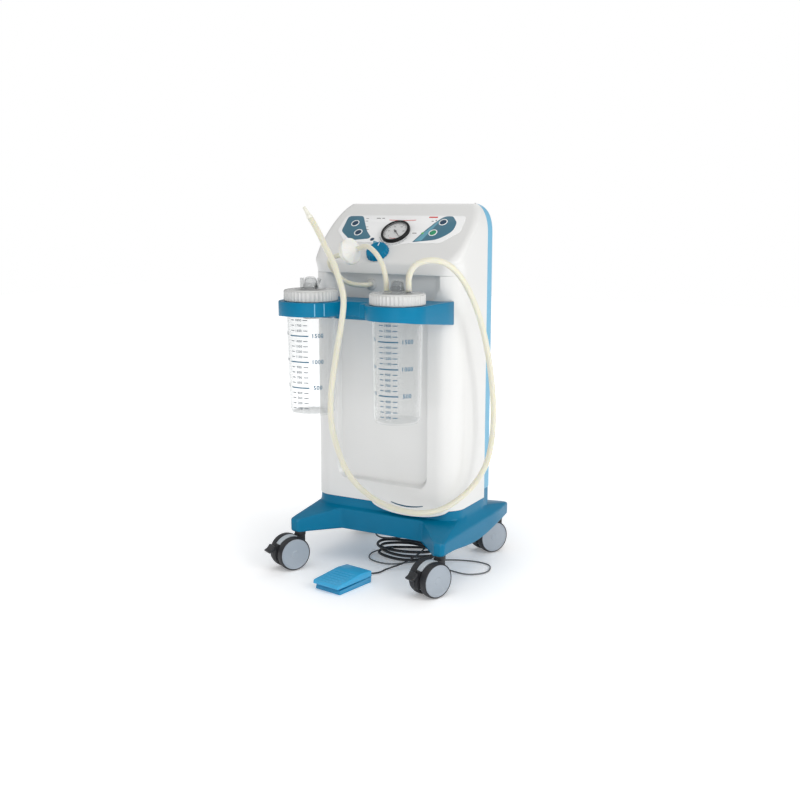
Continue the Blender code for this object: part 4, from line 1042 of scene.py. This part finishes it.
def jar_scale(number, body):
    """Graduations every 100 ml, with bold ones every 500 ml."""
    bold, light = [], []
    shift = -4.0 if number == 1 else 0.0
    for step in range(1, 20):
        z = SCALE_ZERO + SCALE_PER_ML * 100 * step
        if step % 5 == 0:
            bold.append(print_bar(f"major_{step}", number, -19.0 + shift, 31.0 + shift, z, 0.0026))
            figure = lettering(f"figure_{step}", str(step * 100), 0.0125, bold=0.00018)
            bold.append(wrapped(figure, number, 52.0 + shift, z))
            small = lettering(f"small_{step}", str(step * 5), 0.0095, bold=0.0001)
            light.append(wrapped(small, number, -33.0 + shift, z + 0.003))
        else:
            light.append(print_bar(f"minor_left_{step}", number, -15.0 + shift, -5.0 + shift, z, 0.0017))
            light.append(print_bar(f"minor_right_{step}", number, 18.0 + shift, 29.0 + shift, z, 0.0017))
            figure = lettering(f"step_{step}", str(step * 100), 0.0076, bold=0.00015)
            light.append(wrapped(figure, number, 6.5 + shift, z))
    heading = lettering("unit", "ml", 0.0095, bold=0.0003)
    bold.append(wrapped(heading, number, 6.0 + shift, SCALE_ZERO + SCALE_PER_ML * 2010))
    settle(joined(f"jar_{number}_bold_scale", bold), "teal_ink", body, "teal_button")
    settle(
        joined(f"jar_{number}_fine_scale", light), "grey_ink" if number == 1 else "teal_ink", body,
        "teal_button",
    )


def jar_set(number, body):
    stand = Matrix.Translation((JAR_X[number], JAR_Y, 0.0))
    floor = JAR_BOTTOM
    profile = [
        (0.0, floor + 0.0065), (0.030, floor + 0.0055), (0.0462, floor + 0.0040, 0.004),
        (0.0486, floor + 0.012),
    ]
    profile += [(0.0528, HOLDER_TOP), (0.0528, JAR_TOP - 0.0005, 0.0005), (0.0581, JAR_TOP - 0.0005, 0.0010)]
    profile += [(0.0581, HOLDER_TOP + 0.0006, 0.0008), (jar_radius(HOLDER_TOP), HOLDER_TOP + 0.0006, 0.0008)]
    profile += [
        (jar_radius(floor + 0.006), floor + 0.006, 0.005), (0.0480, floor, 0.003), (0.0440, floor, 0.001)
    ]
    profile += [(0.0420, floor + 0.0022, 0.001), (0.0, floor + 0.0026)]
    jar = lathe(f"jar_{number}_body", fillet(profile, 0.0006, 5), 96, stand)
    settle(jar, "clear", body, "clear_plastic", f"jar_{number}")
    jar_scale(number, body)
    seat = JAR_TOP + GAP
    bottom = HOLDER_TOP + 0.0012
    top = 0.665
    ribs = 44

    def knurled(angle, radius, height):
        if radius < 0.0585 or not bottom + 0.0018 < height < top - 0.0028:
            return radius
        return radius - 0.0017 * (0.5 - 0.5 * math.cos(ribs * angle)) ** 0.5

    ring = [(0.0, top - 0.0012), (0.0345, top - 0.0012), (0.0360, top - 0.0002), (0.0530, top - 0.0004)]
    ring += [
        (0.0560, top, 0.0010), (0.0583, top - 0.0008, 0.0015), (0.0592, top - 0.0026), (0.0594, top - 0.0030)
    ]
    ring += [(0.0600, top - 0.0032), (0.0600, top - 0.008), (0.0600, top - 0.013), (0.0600, bottom + 0.0020)]
    ring += [(0.0596, bottom + 0.0016), (0.0600, bottom + 0.0010), (0.0598, bottom), (0.0586, bottom)]
    ring += [(0.0586, seat, 0.0004), (0.0180, seat)]
    ring += [(0.0180, 0.6005), (0.0155, 0.6005), (0.0155, 0.650), (0.0, 0.650)]
    lid = lathe(f"lid_{number}_knurled", fillet(ring, 0.0003, 3), 352, stand, ripple=knurled)
    settle(lid, "lid", body, "grey_plastic", f"lid_ring_{number}")
    base = top + GAP
    dome = [
        (0.0, 0.6925), (0.0075, 0.6920), (0.0115, 0.6900, 0.002), (0.0140, 0.6850, 0.002),
        (0.0163, 0.6700, 0.001),
    ]
    dome += [
        (0.0200, 0.6678, 0.002), (0.0330, 0.6672, 0.0008), (0.0340, 0.6665, 0.0006), (0.0340, base),
        (0.0140, base),
    ]
    dome += [(0.0145, 0.6700), (0.0122, 0.6845, 0.002), (0.0095, 0.6885, 0.002), (0.0, 0.6898)]

    def faceted(angle, radius, height):
        if height > base + 0.004 and radius > 0.0090:
            return radius - 0.0005 * (0.5 - 0.5 * math.cos(10.0 * angle))
        return radius

    cap = lathe(f"cap_{number}_dome", fillet(dome, 0.0005, 4), 120, stand, ripple=faceted)
    pieces = [cap]
    for side in (-1.0, 1.0):
        lean = 0.010 if number == 1 and side > 0.0 else 0.0
        height = 0.0225 if number == 1 else 0.0205
        spread = PORT_SPACING - 0.0045 if number == 1 else PORT_SPACING
        foot = Vector((JAR_X[number] + side * spread, JAR_Y, base + 0.001))
        shares = [step / 6 for step in range(7)]
        if lean:
            shares.reverse()
        path = [foot + Vector((lean * (share - 0.9), 0.0, height * share)) for share in shares]
        pieces.append(sweep(f"spigot_{number}_{side:+.0f}", path, 0.0046, 0.0032, 24))
    web = [
        (-0.0240, base), (0.0240, base), (0.0200, 0.6700, 0.003), (0.0145, 0.6790, 0.003),
        (-0.0145, 0.6790, 0.003),
    ]
    web += [(-0.0200, 0.6700, 0.003)]
    pieces.append(
        prism(f"web_{number}", fillet(web, 0.0, 4, closed=True), -0.0014, 0.0014, 0.0005, stand @ UPRIGHT)
    )
    settle(joined(f"cap_{number}_clear", pieces), "clear_cap", body, "clear_plastic", f"lid_cap_{number}")
    cone = [(0.0, 0.6398), (0.0085, 0.6398, 0.001), (0.0122, 0.6365, 0.002), (0.0122, 0.6115, 0.002)]
    cone += [(0.0095, 0.6082, 0.001), (0.0, 0.6082)]
    node = f"float_{number}"
    settle(lathe(f"{node}_body", fillet(cone, 0.0, 4), 48, stand), "lid", node, "white_plastic", node)


def jar_holder():
    """A bridge with two rings. Its wings hug the housing's corners and grow deeper towards them."""
    low, high = 0.609, HOLDER_TOP
    right = [(WING_HALF_WIDTH, -0.0830), (WING_HALF_WIDTH, -0.110), (WING_HALF_WIDTH, -0.150)]
    right += arc((JAR_X[2], JAR_Y), HOLDER_RADIUS[2], 4.0, -192.0, 72)
    left = [(-WING_HALF_WIDTH, -0.0830), (-WING_HALF_WIDTH, -0.110), (-WING_HALF_WIDTH - 0.003, -0.150)]
    left += arc((JAR_X[1], JAR_Y), HOLDER_RADIUS[1], 168.0, 372.0, 72)
    outline = right + left[::-1]
    holes = [arc((x, JAR_Y), 0.0576, 360.0, 0.0, 96)[:-1] for x in JAR_X.values()]
    band = prism("holder_band", outline, low, high, 0.0016, None, holes)
    for vertex in band.data.vertices:
        x, y, z = vertex.co
        outside = abs(x) - (JAR_X[2] if x > 0.0 else -JAR_X[1])
        deepening = 0.105 * max(0.0, y + 0.281) * ease(outside / 0.060)
        vertex.co.z -= deepening * (high - z) / (high - low)
    tools = []
    for x in JAR_X.values():
        near, far = sorted((math.copysign(0.030, x), math.copysign(0.160, x)))
        pocket = fillet([(near, -0.140), (far, -0.140), (far, -0.110), (near, -0.110)], 0.006, 4, closed=True)
        tools.append(prism(f"pocket_{near:+.3f}", pocket, 0.55, high - 0.004, 0.0005))
    tools.append(housing_space())
    cut(band, tools)
    settle(band, "blue", "trolley", "blue_plastic", "jar_holder")
    parts = []
    flank = [(-0.200, low + 0.0006, 0.003), (-0.200, high - 0.005), (-0.0825, high - 0.0014, 0.001)]
    flank += [(-0.0825, 0.5895, 0.002), (-0.1120, 0.5895, 0.006)]
    for side in (-1.0, 1.0):
        stand = Matrix.Translation((side * (WING_HALF_WIDTH - 0.0050), 0.0, 0.0)) @ SIDEWAYS
        parts.append(
            prism(f"flank_{side:+.0f}", fillet(flank, 0.0, 5, closed=True), -0.0049, 0.0049, 0.0012, stand)
        )
    rail = fillet(
        [(-0.168, -0.1085), (0.168, -0.1085), (0.168, -0.0960), (-0.168, -0.0960)], 0.002, 4, closed=True
    )
    parts.append(prism("rail", rail, 0.5900, high - 0.0010, 0.0016))
    block = fillet(
        [(0.024, -0.232), (0.040, -0.232), (0.040, -0.196), (0.024, -0.196)], 0.002, 4, closed=True
    )
    parts.append(prism("stop_block", block, low + 0.001, high - 0.0006, 0.001))
    frame_parts = cut(joined("holder_flanks", parts), [housing_space()])
    settle(frame_parts, "blue", "trolley", "blue_plastic")
    # Two strips on the first ring in the rear shell's lighter blue: painted highlight for the bright lines
    # where the band turns back.
    ribs = []
    for azimuth in (40.0, 57.0):
        angle = math.radians(azimuth)
        reach = HOLDER_RADIUS[1] - 0.0004
        spot = Matrix.Translation((JAR_X[1] + reach * math.sin(angle), JAR_Y - reach * math.cos(angle), 0.0))
        turn = spot @ Matrix.Rotation(angle, 4, "Z")
        bar = fillet(
            [(-0.0012, -0.0012), (0.0012, -0.0012), (0.0012, 0.002), (-0.0012, 0.002)], 0.0006, 3, closed=True
        )
        ribs.append(prism(f"rib_{azimuth:.0f}", bar, low + 0.002, high - 0.002, 0.0003, turn))
    settle(joined("holder_highlight_ribs", ribs), "rear_blue", "trolley", "blue_plastic")


def housing_space():
    """The room taken by the housing's front at the holder's height."""
    ring = shell_section(
        0.0, BODY_HALF_WIDTH + 0.0004, BODY_SPLIT, BODY_FRONT - 0.0004, FLANK_RADIUS, [-0.5, 0.5]
    )
    return prism("housing_space", [(x, y) for x, y, _z in ring], 0.55, 0.68, 0.0001)


# Tubes

FILTER_START = Vector((-0.070, -0.162, 0.737))
FILTER_END = Vector((0.000, -0.180, 0.757))
PORT_PLACE = Vector((-0.031, -0.085, 0.670))


def vacuum_line():
    turn = Matrix.Translation(PORT_PLACE) @ Matrix.Rotation(math.radians(90.0), 4, "X")
    port = [
        (0.0, 0.0120), (0.0036, 0.0120), (0.0046, 0.0100), (0.0040, 0.0090), (0.0046, 0.0060),
        (0.0048, 0.0040),
    ]
    port += [
        (0.0118, 0.0036, 0.001), (0.0130, 0.0024, 0.001), (0.0130, GAP), (0.0080, GAP), (0.0080, -0.0120),
        (0.0, -0.0120),
    ]
    settle(
        lathe("wall_spigot", fillet(port, 0.0003, 3), 48, turn), "lid", "trolley", "grey_plastic",
        "vacuum_port",
    )
    span = FILTER_END - FILTER_START
    half = span.length / 2.0
    aim = span.to_track_quat("Z", "Y").to_matrix().to_4x4()
    turn = Matrix.Translation((FILTER_START + FILTER_END) / 2.0) @ aim
    side = [
        (0.0043, half, 0.0005), (0.0048, half * 0.62, 0.002), (0.0115, half * 0.47, 0.004),
        (0.0255, 0.0085, 0.003),
    ]
    side += [(0.0278, 0.0062, 0.001), (0.0290, 0.0050, 0.001), (0.0290, 0.0012, 0.0005), (0.0282, 0.0006)]
    profile = [
        (0.0, half), *side, *[(point[0], -point[1], *point[2:]) for point in reversed(side)], (0.0, -half)
    ]

    def ribbed(angle, radius, height):
        if 0.012 < radius < 0.0262:
            return radius + 0.0004 * math.cos(24.0 * angle)
        return radius

    body = lathe("filter_body", fillet(profile, 0.0, 4), 144, turn, ripple=ribbed)
    settle(body, "filter", "trolley", "white_plastic", "bacterial_filter")
    along = span.normalized()
    inlet = [
        PORT_PLACE - Vector((0.0, 0.0048, 0.0)),
        PORT_PLACE - Vector((0.0, 0.0140, 0.0)),
        (-0.033, -0.112, 0.670),
        (-0.048, -0.126, 0.671),
        (-0.068, -0.138, 0.678),
        (-0.085, -0.147, 0.695),
        (-0.097, -0.153, 0.712),
        (-0.098, -0.1565, 0.725),
        (-0.087, -0.1585, 0.7325),
        FILTER_START - along * 0.004,
        FILTER_START + along * 0.010,
    ]
    hose = sweep("hose_wall_to_filter", relaxed(smooth_path(inlet, 8), 6), 0.0055, 0.0036, 24)
    settle(hose, "silicone", "trolley", "silicone", "vacuum_tube_wall")
    outlet = [
        FILTER_END - along * 0.010,
        FILTER_END + along * 0.003,
        (0.012, -0.184, 0.7595),
        (0.028, -0.191, 0.757),
        (0.050, -0.201, 0.744),
        (0.068, -0.208, 0.724),
        (0.077, -0.212, 0.702),
        (JAR_X[2] - PORT_SPACING, JAR_Y, 0.688),
        (JAR_X[2] - PORT_SPACING, JAR_Y, 0.6690),
    ]
    hose = sweep("hose_filter_to_jar", relaxed(smooth_path(outlet, 8), 6), 0.0055, 0.0036, 24)
    settle(hose, "silicone", "trolley", "silicone", "vacuum_tube_jar")


PATIENT_PATH = [
    (JAR_X[2] + PORT_SPACING, JAR_Y, 0.6690),
    (JAR_X[2] + PORT_SPACING, JAR_Y, 0.700),
    (0.147, -0.208, 0.725),
    (0.175, -0.190, 0.735),
    (0.202, -0.164, 0.725),
    (0.219, -0.130, 0.693),
    (0.232, -0.095, 0.639),
    (0.239, -0.060, 0.570),
    (0.241, -0.025, 0.480),
    (0.242, -0.008, 0.385),
    (0.239, -0.014, 0.305),
    (0.231, -0.040, 0.252),
    (0.212, -0.085, 0.212),
    (0.183, -0.128, 0.186),
    (0.146, -0.152, 0.174),
    (0.095, -0.164, 0.175),
    (0.040, -0.168, 0.186),
    (-0.006, -0.170, 0.209),
    (-0.044, -0.176, 0.248),
    (-0.060, -0.190, 0.304),
    (-0.050, -0.232, 0.372),
    (-0.040, -0.247, 0.444),
    (-0.020, -0.255, 0.530),
    (0.004, -0.268, 0.607),
    (0.009, -0.268, 0.654),
    (-0.003, -0.262, 0.685),
    (-0.028, -0.250, 0.728),
    (-0.054, -0.240, 0.759),
    (-0.075, -0.234, 0.790),
    (-0.097, -0.230, 0.818),
]


def patient_line():
    path = relaxed(smooth_path(PATIENT_PATH, 7), 10)
    hose = sweep("patient_hose", path, 0.0065, 0.0044, 26)
    settle(hose, "silicone", "trolley", "silicone", "patient_tube")
    along = (path[-1] - path[-2]).normalized()
    turn = Matrix.Translation(path[-1] - along * 0.004) @ along.to_track_quat("Z", "Y").to_matrix().to_4x4()
    outside = [
        (0.0040, 0.0), (0.0040, 0.0042), (0.0066, 0.0043, 0.0004), (0.0068, 0.0105, 0.001),
        (0.0050, 0.0140, 0.001),
    ]
    outside += [
        (0.0034, 0.0352, 0.0004), (0.0024, 0.0356, 0.0003), (0.0021, 0.030), (0.0028, 0.004), (0.0028, 0.0)
    ]
    tip = lathe("hose_tip", fillet(outside, 0.0002, 3, closed=True), 40, turn, closed=True)
    settle(tip, "tip", "trolley", "clear_plastic", "tube_tip")


# Castors


def castor(name):
    """Two wheels on an axle under a swivel, bridged between their tyres: local X is the axle."""
    x, y = CASTOR_PLACE[name]
    here = Matrix.Translation((x, y, 0.0)) @ Matrix.Rotation(math.radians(CASTOR_TURN[name]), 4, "Z")
    upright = here @ SIDEWAYS
    centre = (-CASTOR_TRAIL, WHEEL_RADIUS)
    gap = WHEEL_INNER - 0.0004
    body = f"castor_{name}"
    web = arc(centre, 0.0368, 66.0, 142.0, 16) + arc(centre, 0.0400, 144.0, 204.0, 14)
    web += arc(centre, 0.0130, 206.0, 360.0, 14) + [(0.0095, 0.0600), (0.0095, 0.0800), (-0.0125, 0.0800)]
    housing = prism(f"web_{name}", web, -gap, gap, 0.0006, upright)
    stem = [(0.0, 0.077), (0.0128, 0.077, 0.0008), (0.0130, 0.0806, 0.0008), (0.0130, 0.0874, 0.0006)]
    stem += [(0.0054, 0.0877), (0.0054, 0.107), (0.0, 0.107)]
    parts = [housing, lathe(f"stem_{name}", fillet(stem, 0.0, 3), 48, here)]
    axle = WHEEL_OUTER - 0.0026
    turn = here @ Matrix.Translation((0.0, -CASTOR_TRAIL, WHEEL_RADIUS)) @ Matrix.Rotation(
        math.radians(90.0), 4, "Y"
    )
    parts.append(
        lathe(f"axle_{name}", [(0.0, -axle), (0.0040, -axle), (0.0040, axle), (0.0, axle)], 24, turn)
    )
    for side in (-0.0050, 0.0, 0.0050):
        strip = arc(centre, 0.0430, 146.0, 203.0, 16) + arc(centre, 0.0390, 203.0, 146.0, 16)
        parts.append(prism(f"strip_{name}", strip, side - 0.0013, side + 0.0013, 0.0005, upright))
    settle(joined(f"{body}_frame", parts), "black", body, "black_plastic", f"castor_fork_{name}")
    bridge = arc(centre, 0.0400, 66.0, 143.0, 18) + arc(centre, 0.0366, 143.0, 66.0, 18)
    settle(prism(f"{body}_bridge", bridge, -gap, gap, 0.0007, upright), "bridge", body, "grey_plastic")
    for side_name, sign in (("left", -1.0), ("right", 1.0)):
        node = f"wheel_{name}_{side_name}"
        turn = here @ Matrix.Translation((0.0, -CASTOR_TRAIL, WHEEL_RADIUS))
        turn = turn @ Matrix.Rotation(sign * math.radians(90.0), 4, "Y")
        tyre = [
            (0.0362, WHEEL_OUTER - 0.0010), (0.0372, WHEEL_OUTER, 0.0008),
            (0.0388, WHEEL_OUTER - 0.0016, 0.0022),
        ]
        tyre += [(WHEEL_RADIUS, WHEEL_OUTER - 0.0070, 0.003), (WHEEL_RADIUS, WHEEL_INNER + 0.0060, 0.003)]
        tyre += [
            (0.0385, WHEEL_INNER + 0.0012, 0.002), (0.0360, WHEEL_INNER + 0.0002, 0.001),
            (0.0330, WHEEL_INNER + 0.0006),
        ]
        tyre += [(0.0330, WHEEL_OUTER - 0.004)]

        def grooved(angle, radius, height):
            if radius > 0.0392:
                return radius - 0.0002 * (0.5 + 0.5 * math.cos(60.0 * angle))
            return radius

        ring = lathe(
            f"{node}_tyre", fillet(tyre, 0.0004, 4, closed=True), 180, turn, closed=True, ripple=grooved
        )
        settle(ring, "tread", f"{node}_body", "black_plastic", node)
        face = WHEEL_OUTER - 0.0004
        disc = [
            (0.0045, face - 0.0030), (0.0045, face - 0.0012, 0.0004), (0.0120, face - 0.0012),
            (0.0300, face - 0.0016),
        ]
        disc += [(0.0332, face - 0.0010, 0.001), (0.0346, face, 0.0008), (0.0361, face - 0.0006, 0.0006)]
        disc += [
            (0.0361, WHEEL_INNER + 0.0014, 0.001), (0.0200, WHEEL_INNER + 0.0022),
            (0.0045, WHEEL_INNER + 0.0008),
        ]
        plate = lathe(f"{node}_disc", fillet(disc, 0.0003, 4, closed=True), 96, turn, closed=True)
        settle(plate, "disc", f"{node}_body", "disc_grey")
        cap = [
            (0.0, face + 0.0003), (0.0070, face, 0.001), (0.0092, face - 0.0010), (0.0092, face - 0.0018),
            (0.0, face - 0.0018),
        ]
        hub = lathe(f"{node}_hub_cap", fillet(cap, 0.0, 3), 40, turn)
        settle(hub, "disc", f"{node}_body", "disc_grey")
    if name.startswith("front"):
        node = f"brake_pedal_{name}"
        pedal = [
            (-0.0725, 0.0640, 0.002), (-0.0725, 0.0555, 0.002), (-0.078, 0.0505, 0.003),
            (-0.0885, 0.0480, 0.0015),
        ]
        pedal += [(-0.0905, 0.0520, 0.0015), (-0.0810, 0.0570, 0.003), (-0.0765, 0.0640, 0.002)]
        lever = prism(f"{node}_lever", fillet(pedal, 0.0, 4, closed=True), -0.0125, 0.0125, 0.0014, upright)
        grips = [lever]
        for index in range(4):
            spot = Vector((-0.0886 + 0.0024 * index, 0.0528 + 0.0013 * index))
            bar = arc(spot, 0.0006, 0.0, 330.0, 11)
            grips.append(prism(f"grip_{index}", bar, -0.0100, 0.0100, 0.0002, upright))
        settle(joined(f"{node}_tab", grips), "black", f"brake_{name}", "black_plastic", node)


# Foot switch and cables

FOOT_SWITCH = Matrix.Translation((-0.024, -0.230, 0.0)) @ Matrix.Rotation(math.radians(-9.5), 4, "Z")


def foot_switch():
    turn = FOOT_SWITCH @ SIDEWAYS
    lower = [
        (0.055, 0.0002, 0.001), (0.057, 0.0133, 0.0015), (0.040, 0.0133), (-0.050, 0.0100, 0.002),
        (-0.0525, 0.0012, 0.001),
    ]
    lower += [(-0.051, 0.0002, 0.0006)]
    tub = prism("foot_switch_tub", fillet(lower, 0.0, 4, closed=True), -0.0363, 0.0363, 0.0014, turn)
    # The tub's darker blue is painted shade under the treadle; it is the same blue plastic as the pedal.
    settle(tub, "foot_under_painted_shade", "trolley", "foot_blue", "foot_switch_base")
    upper = [(0.057, 0.0142, 0.001), (0.056, 0.0285, 0.003), (0.022, 0.0308, 0.006), (-0.058, 0.0235, 0.003)]
    upper += [(-0.060, 0.0152, 0.002), (-0.0575, 0.0142, 0.001), (0.040, 0.0144)]
    plate = prism("foot_switch_treadle", fillet(upper, 0.0, 5, closed=True), -0.0373, 0.0373, 0.0020, turn)
    parts = [plate]
    for index in range(6):
        y = -0.0490 + 0.0110 * index
        z = 0.0230 + (y + 0.058) * (0.0308 - 0.0235) / 0.080
        bar = arc((y, z), 0.0016, 0.0, 330.0, 11)
        parts.append(prism(f"tread_bar_{index}", bar, -0.0310, 0.0310, 0.0004, turn))
    settle(
        joined("foot_switch_pedal_plate", parts), "foot_blue", "foot_pedal", "foot_blue", "foot_switch_pedal"
    )


def cables():
    start = FOOT_SWITCH @ Vector((0.0, 0.0560, 0.0075))
    lead = [
        start,
        (-0.010, -0.150, 0.0050),
        (0.008, -0.125, 0.0035),
        (0.012, -0.095, 0.0035),
        (0.050, -0.070, 0.0200),
        (0.078, -0.030, 0.0450),
        (0.050, 0.040, 0.0560),
        (-0.030, 0.045, 0.0580),
        (-0.070, 0.000, 0.0580),
        (-0.030, -0.045, 0.0600),
        (0.030, -0.030, 0.0680),
        (0.040, 0.010, 0.0800),
        (0.036, 0.020, 0.1195),
    ]
    cord = sweep("foot_switch_cord", relaxed(smooth_path(lead, 10), 4), 0.0020, sides=12)
    grommet = [(0.0, -0.004), (0.0042, -0.004), (0.0040, 0.004, 0.001), (0.0026, 0.010, 0.0005), (0.0, 0.010)]
    exit_place = FOOT_SWITCH @ Matrix.Translation((0.0, 0.0572, 0.0075))
    exit_turn = exit_place @ Matrix.Rotation(math.radians(-90.0), 4, "X")
    sleeve = lathe("lead_sleeve", fillet(grommet, 0.0, 3), 24, exit_turn)
    settle(
        joined("foot_switch_cable", [cord, sleeve]), "cable", "trolley", "black_plastic", "foot_switch_lead"
    )
    coil = []
    turns, steps = 3, 12
    for index in range(turns * steps + 1):
        angle = math.radians(70.0) + 2.0 * math.pi * index / steps
        swell = 1.0 + 0.10 * math.sin(1.7 * angle)
        z = 0.0040 + 0.0088 * index / steps
        coil.append((0.005 + 0.078 * swell * math.cos(angle), 0.022 + 0.052 * swell * math.sin(angle), z))
    run = [
        (0.080, 0.1325, 0.2400),
        (0.080, 0.143, 0.2360),
        (0.080, 0.148, 0.2000),
        (0.080, 0.149, 0.1300),
        (0.079, 0.175, 0.0550),
        (0.078, 0.222, 0.0080),
        (0.090, 0.262, 0.0040),
        (0.078, 0.286, 0.0040),
        (0.046, 0.262, 0.0040),
        (0.045, 0.170, 0.0040),
        (0.055, 0.110, 0.0040),
    ]
    path = relaxed(smooth_path([*run, *coil[1::2]], 8), 3)
    cord = sweep("mains_cable_run", path, 0.0034, sides=14)
    plug = [(0.066, -0.134), (0.094, -0.134), (0.094, -0.1052), (0.066, -0.1052)]
    plug = fillet([(x, -y) for x, y in plug], 0.003, 4, closed=True)
    head = prism("mains_plug", plug, 0.230, 0.250, 0.002)
    settle(joined("mains_cable", [cord, head]), "cable", "trolley", "black_plastic", "mains_cord")
    loops = [
        (0.040, 0.030, 0.0030),
        (0.100, -0.010, 0.0030),
        (0.150, -0.030, 0.0030),
        (0.196, -0.034, 0.0030),
        (0.226, 0.000, 0.0030),
        (0.214, 0.046, 0.0030),
        (0.170, 0.056, 0.0030),
        (0.110, 0.036, 0.0030),
        (0.060, -0.020, 0.0080),
        (0.000, -0.060, 0.0030),
        (-0.060, -0.050, 0.0030),
        (-0.080, 0.000, 0.0030),
        (-0.040, 0.030, 0.0120),
    ]
    spare = sweep("spare_lead_loop", relaxed(smooth_path(loops, 10), 4), 0.0018, sides=10)
    settle(spare, "cable_grey", "trolley", "black_plastic")


# Inside


def dressed(name, look, bevel=0.0006):
    """A CAD part kept as it is, with its sharp edges eased and a finish of its own."""
    obj = nodes[name]
    weld = obj.modifiers.new("weld", "WELD")
    weld.merge_threshold = 0.00001
    ease_edges = obj.modifiers.new("edges", "BEVEL")
    ease_edges.width = bevel
    ease_edges.segments = 2
    ease_edges.limit_method = "ANGLE"
    ease_edges.angle_limit = math.radians(35.0)
    obj.data.materials.clear()
    obj.data.materials.append(LOOKS[look])


def drive():
    for name in ("motor_housing", "crankcase", "pump_head_1", "pump_head_2"):
        dressed(name, "cast", 0.0010)
    for name in ("motor_shaft", "chassis_plate", "regulator_valve"):
        dressed(name, "steel", 0.0004)
    for name in ("cooling_fan", "silencer", "mains_socket"):
        dressed(name, "black", 0.0005)
    dressed("circuit_board", "board", 0.0002)
    hose = [
        (-0.080, -0.025, 0.3360),
        (-0.080, -0.025, 0.380),
        (-0.068, -0.035, 0.480),
        (-0.040, -0.045, 0.590),
        (-0.031, -0.040, 0.655),
        (-0.031, -0.055, 0.670),
        (-0.031, -0.0718, 0.670),
    ]
    piece = sweep("inner_hose", relaxed(smooth_path(hose, 6), 3), 0.0050, 0.0032, 20)
    settle(piece, "black", "trolley", "black_plastic", "internal_hose")


# Stage

CAMERA_PLACE = (1.192, -2.156, 0.846)
CAMERA_TURN = 29.03
CAMERA_PITCH = 10.44
CAMERA_LENS = 47.52

SKY_LIGHT = 0.44
LIGHTS = (
    ("key", (2.5, -0.7, 1.7), 1.4, 30.0, (1.0, 0.995, 0.985)),
    ("top", (0.5, -1.6, 2.8), 2.2, 19.0, (1.0, 1.0, 1.0)),
    ("front", (1.0, -2.6, 0.7), 1.6, 8.0, (1.0, 1.0, 1.0)),
    ("back", (-0.6, 1.8, 2.4), 2.0, 12.0, (1.0, 1.0, 1.0)),
    ("fill", (-2.6, -0.4, 1.4), 1.8, 4.0, (0.96, 0.98, 1.0)),
)


def pale_floor():
    """Matt white paper near the trolley, lit evenly further out."""
    material = bpy.data.materials.new("pale_floor")
    material.use_nodes = True
    tree = material.node_tree
    shader = tree.nodes["Principled BSDF"]
    shader.inputs["Base Color"].default_value = (0.95, 0.955, 0.965, 1.0)
    shader.inputs["Roughness"].default_value = 0.6
    shader.inputs["Emission Color"].default_value = (1.0, 1.0, 1.0, 1.0)
    place = add(tree, "ShaderNodeTexCoord").outputs["Object"]
    distance = add(tree, "ShaderNodeVectorMath", operation="LENGTH")
    wire(tree, place, distance.inputs[0])
    glow = add(
        tree, "ShaderNodeMapRange", {"From Min": 0.25, "From Max": 1.2, "To Min": 0.20, "To Max": 0.70}
    )
    wire(tree, distance.outputs["Value"], glow.inputs["Value"])
    wire(tree, glow.outputs["Result"], shader.inputs["Emission Strength"])
    return material


def stage():
    bpy.ops.mesh.primitive_plane_add(size=14.0, location=(0.0, 0.0, -0.0002))
    floor = bpy.context.object
    floor.name = "floor"
    floor.data.materials.append(pale_floor())
    world = bpy.data.worlds.new("studio")
    world.use_nodes = True
    tree = world.node_tree
    sky = tree.nodes["Background"]
    seen = add(tree, "ShaderNodeLightPath").outputs["Is Camera Ray"]
    strength = add(tree, "ShaderNodeMapRange", {"To Min": SKY_LIGHT, "To Max": 1.0})
    wire(tree, seen, strength.inputs["Value"])
    wire(tree, strength.outputs["Result"], sky.inputs["Strength"])
    sky.inputs["Color"].default_value = (1.0, 1.0, 1.0, 1.0)
    bpy.context.scene.world = world
    for name, place, size, power, tint in LIGHTS:
        light = bpy.data.lights.new(name, "AREA")
        light.size = size
        light.energy = power
        light.color = tint
        lamp = bpy.data.objects.new(name, light)
        lamp.location = place
        lamp.rotation_euler = (Vector((0.0, 0.0, 0.4)) - Vector(place)).to_track_quat("-Z", "Y").to_euler()
        bpy.context.scene.collection.objects.link(lamp)
    camera_data = bpy.data.cameras.new("camera")
    camera_data.lens = CAMERA_LENS
    camera_data.sensor_width = 36.0
    camera = bpy.data.objects.new("camera", camera_data)
    camera.location = CAMERA_PLACE
    turn, pitch = math.radians(CAMERA_TURN), math.radians(CAMERA_PITCH)
    forward = Vector((-math.sin(turn) * math.cos(pitch), math.cos(turn) * math.cos(pitch), -math.sin(pitch)))
    camera.rotation_euler = forward.to_track_quat("-Z", "Y").to_euler()
    bpy.context.scene.collection.objects.link(camera)
    bpy.context.scene.camera = camera
    bpy.context.scene.view_settings.view_transform = "Standard"


front_cover()
rear_cover()
base_cover()
control_panel()
gauge()
buttons()
regulator()
jar_holder()
jar_set(1, "jar_1_set")
jar_set(2, "trolley")
vacuum_line()
patient_line()
for corner in CASTOR_PLACE:
    castor(corner)
foot_switch()
cables()
drive()
stage()
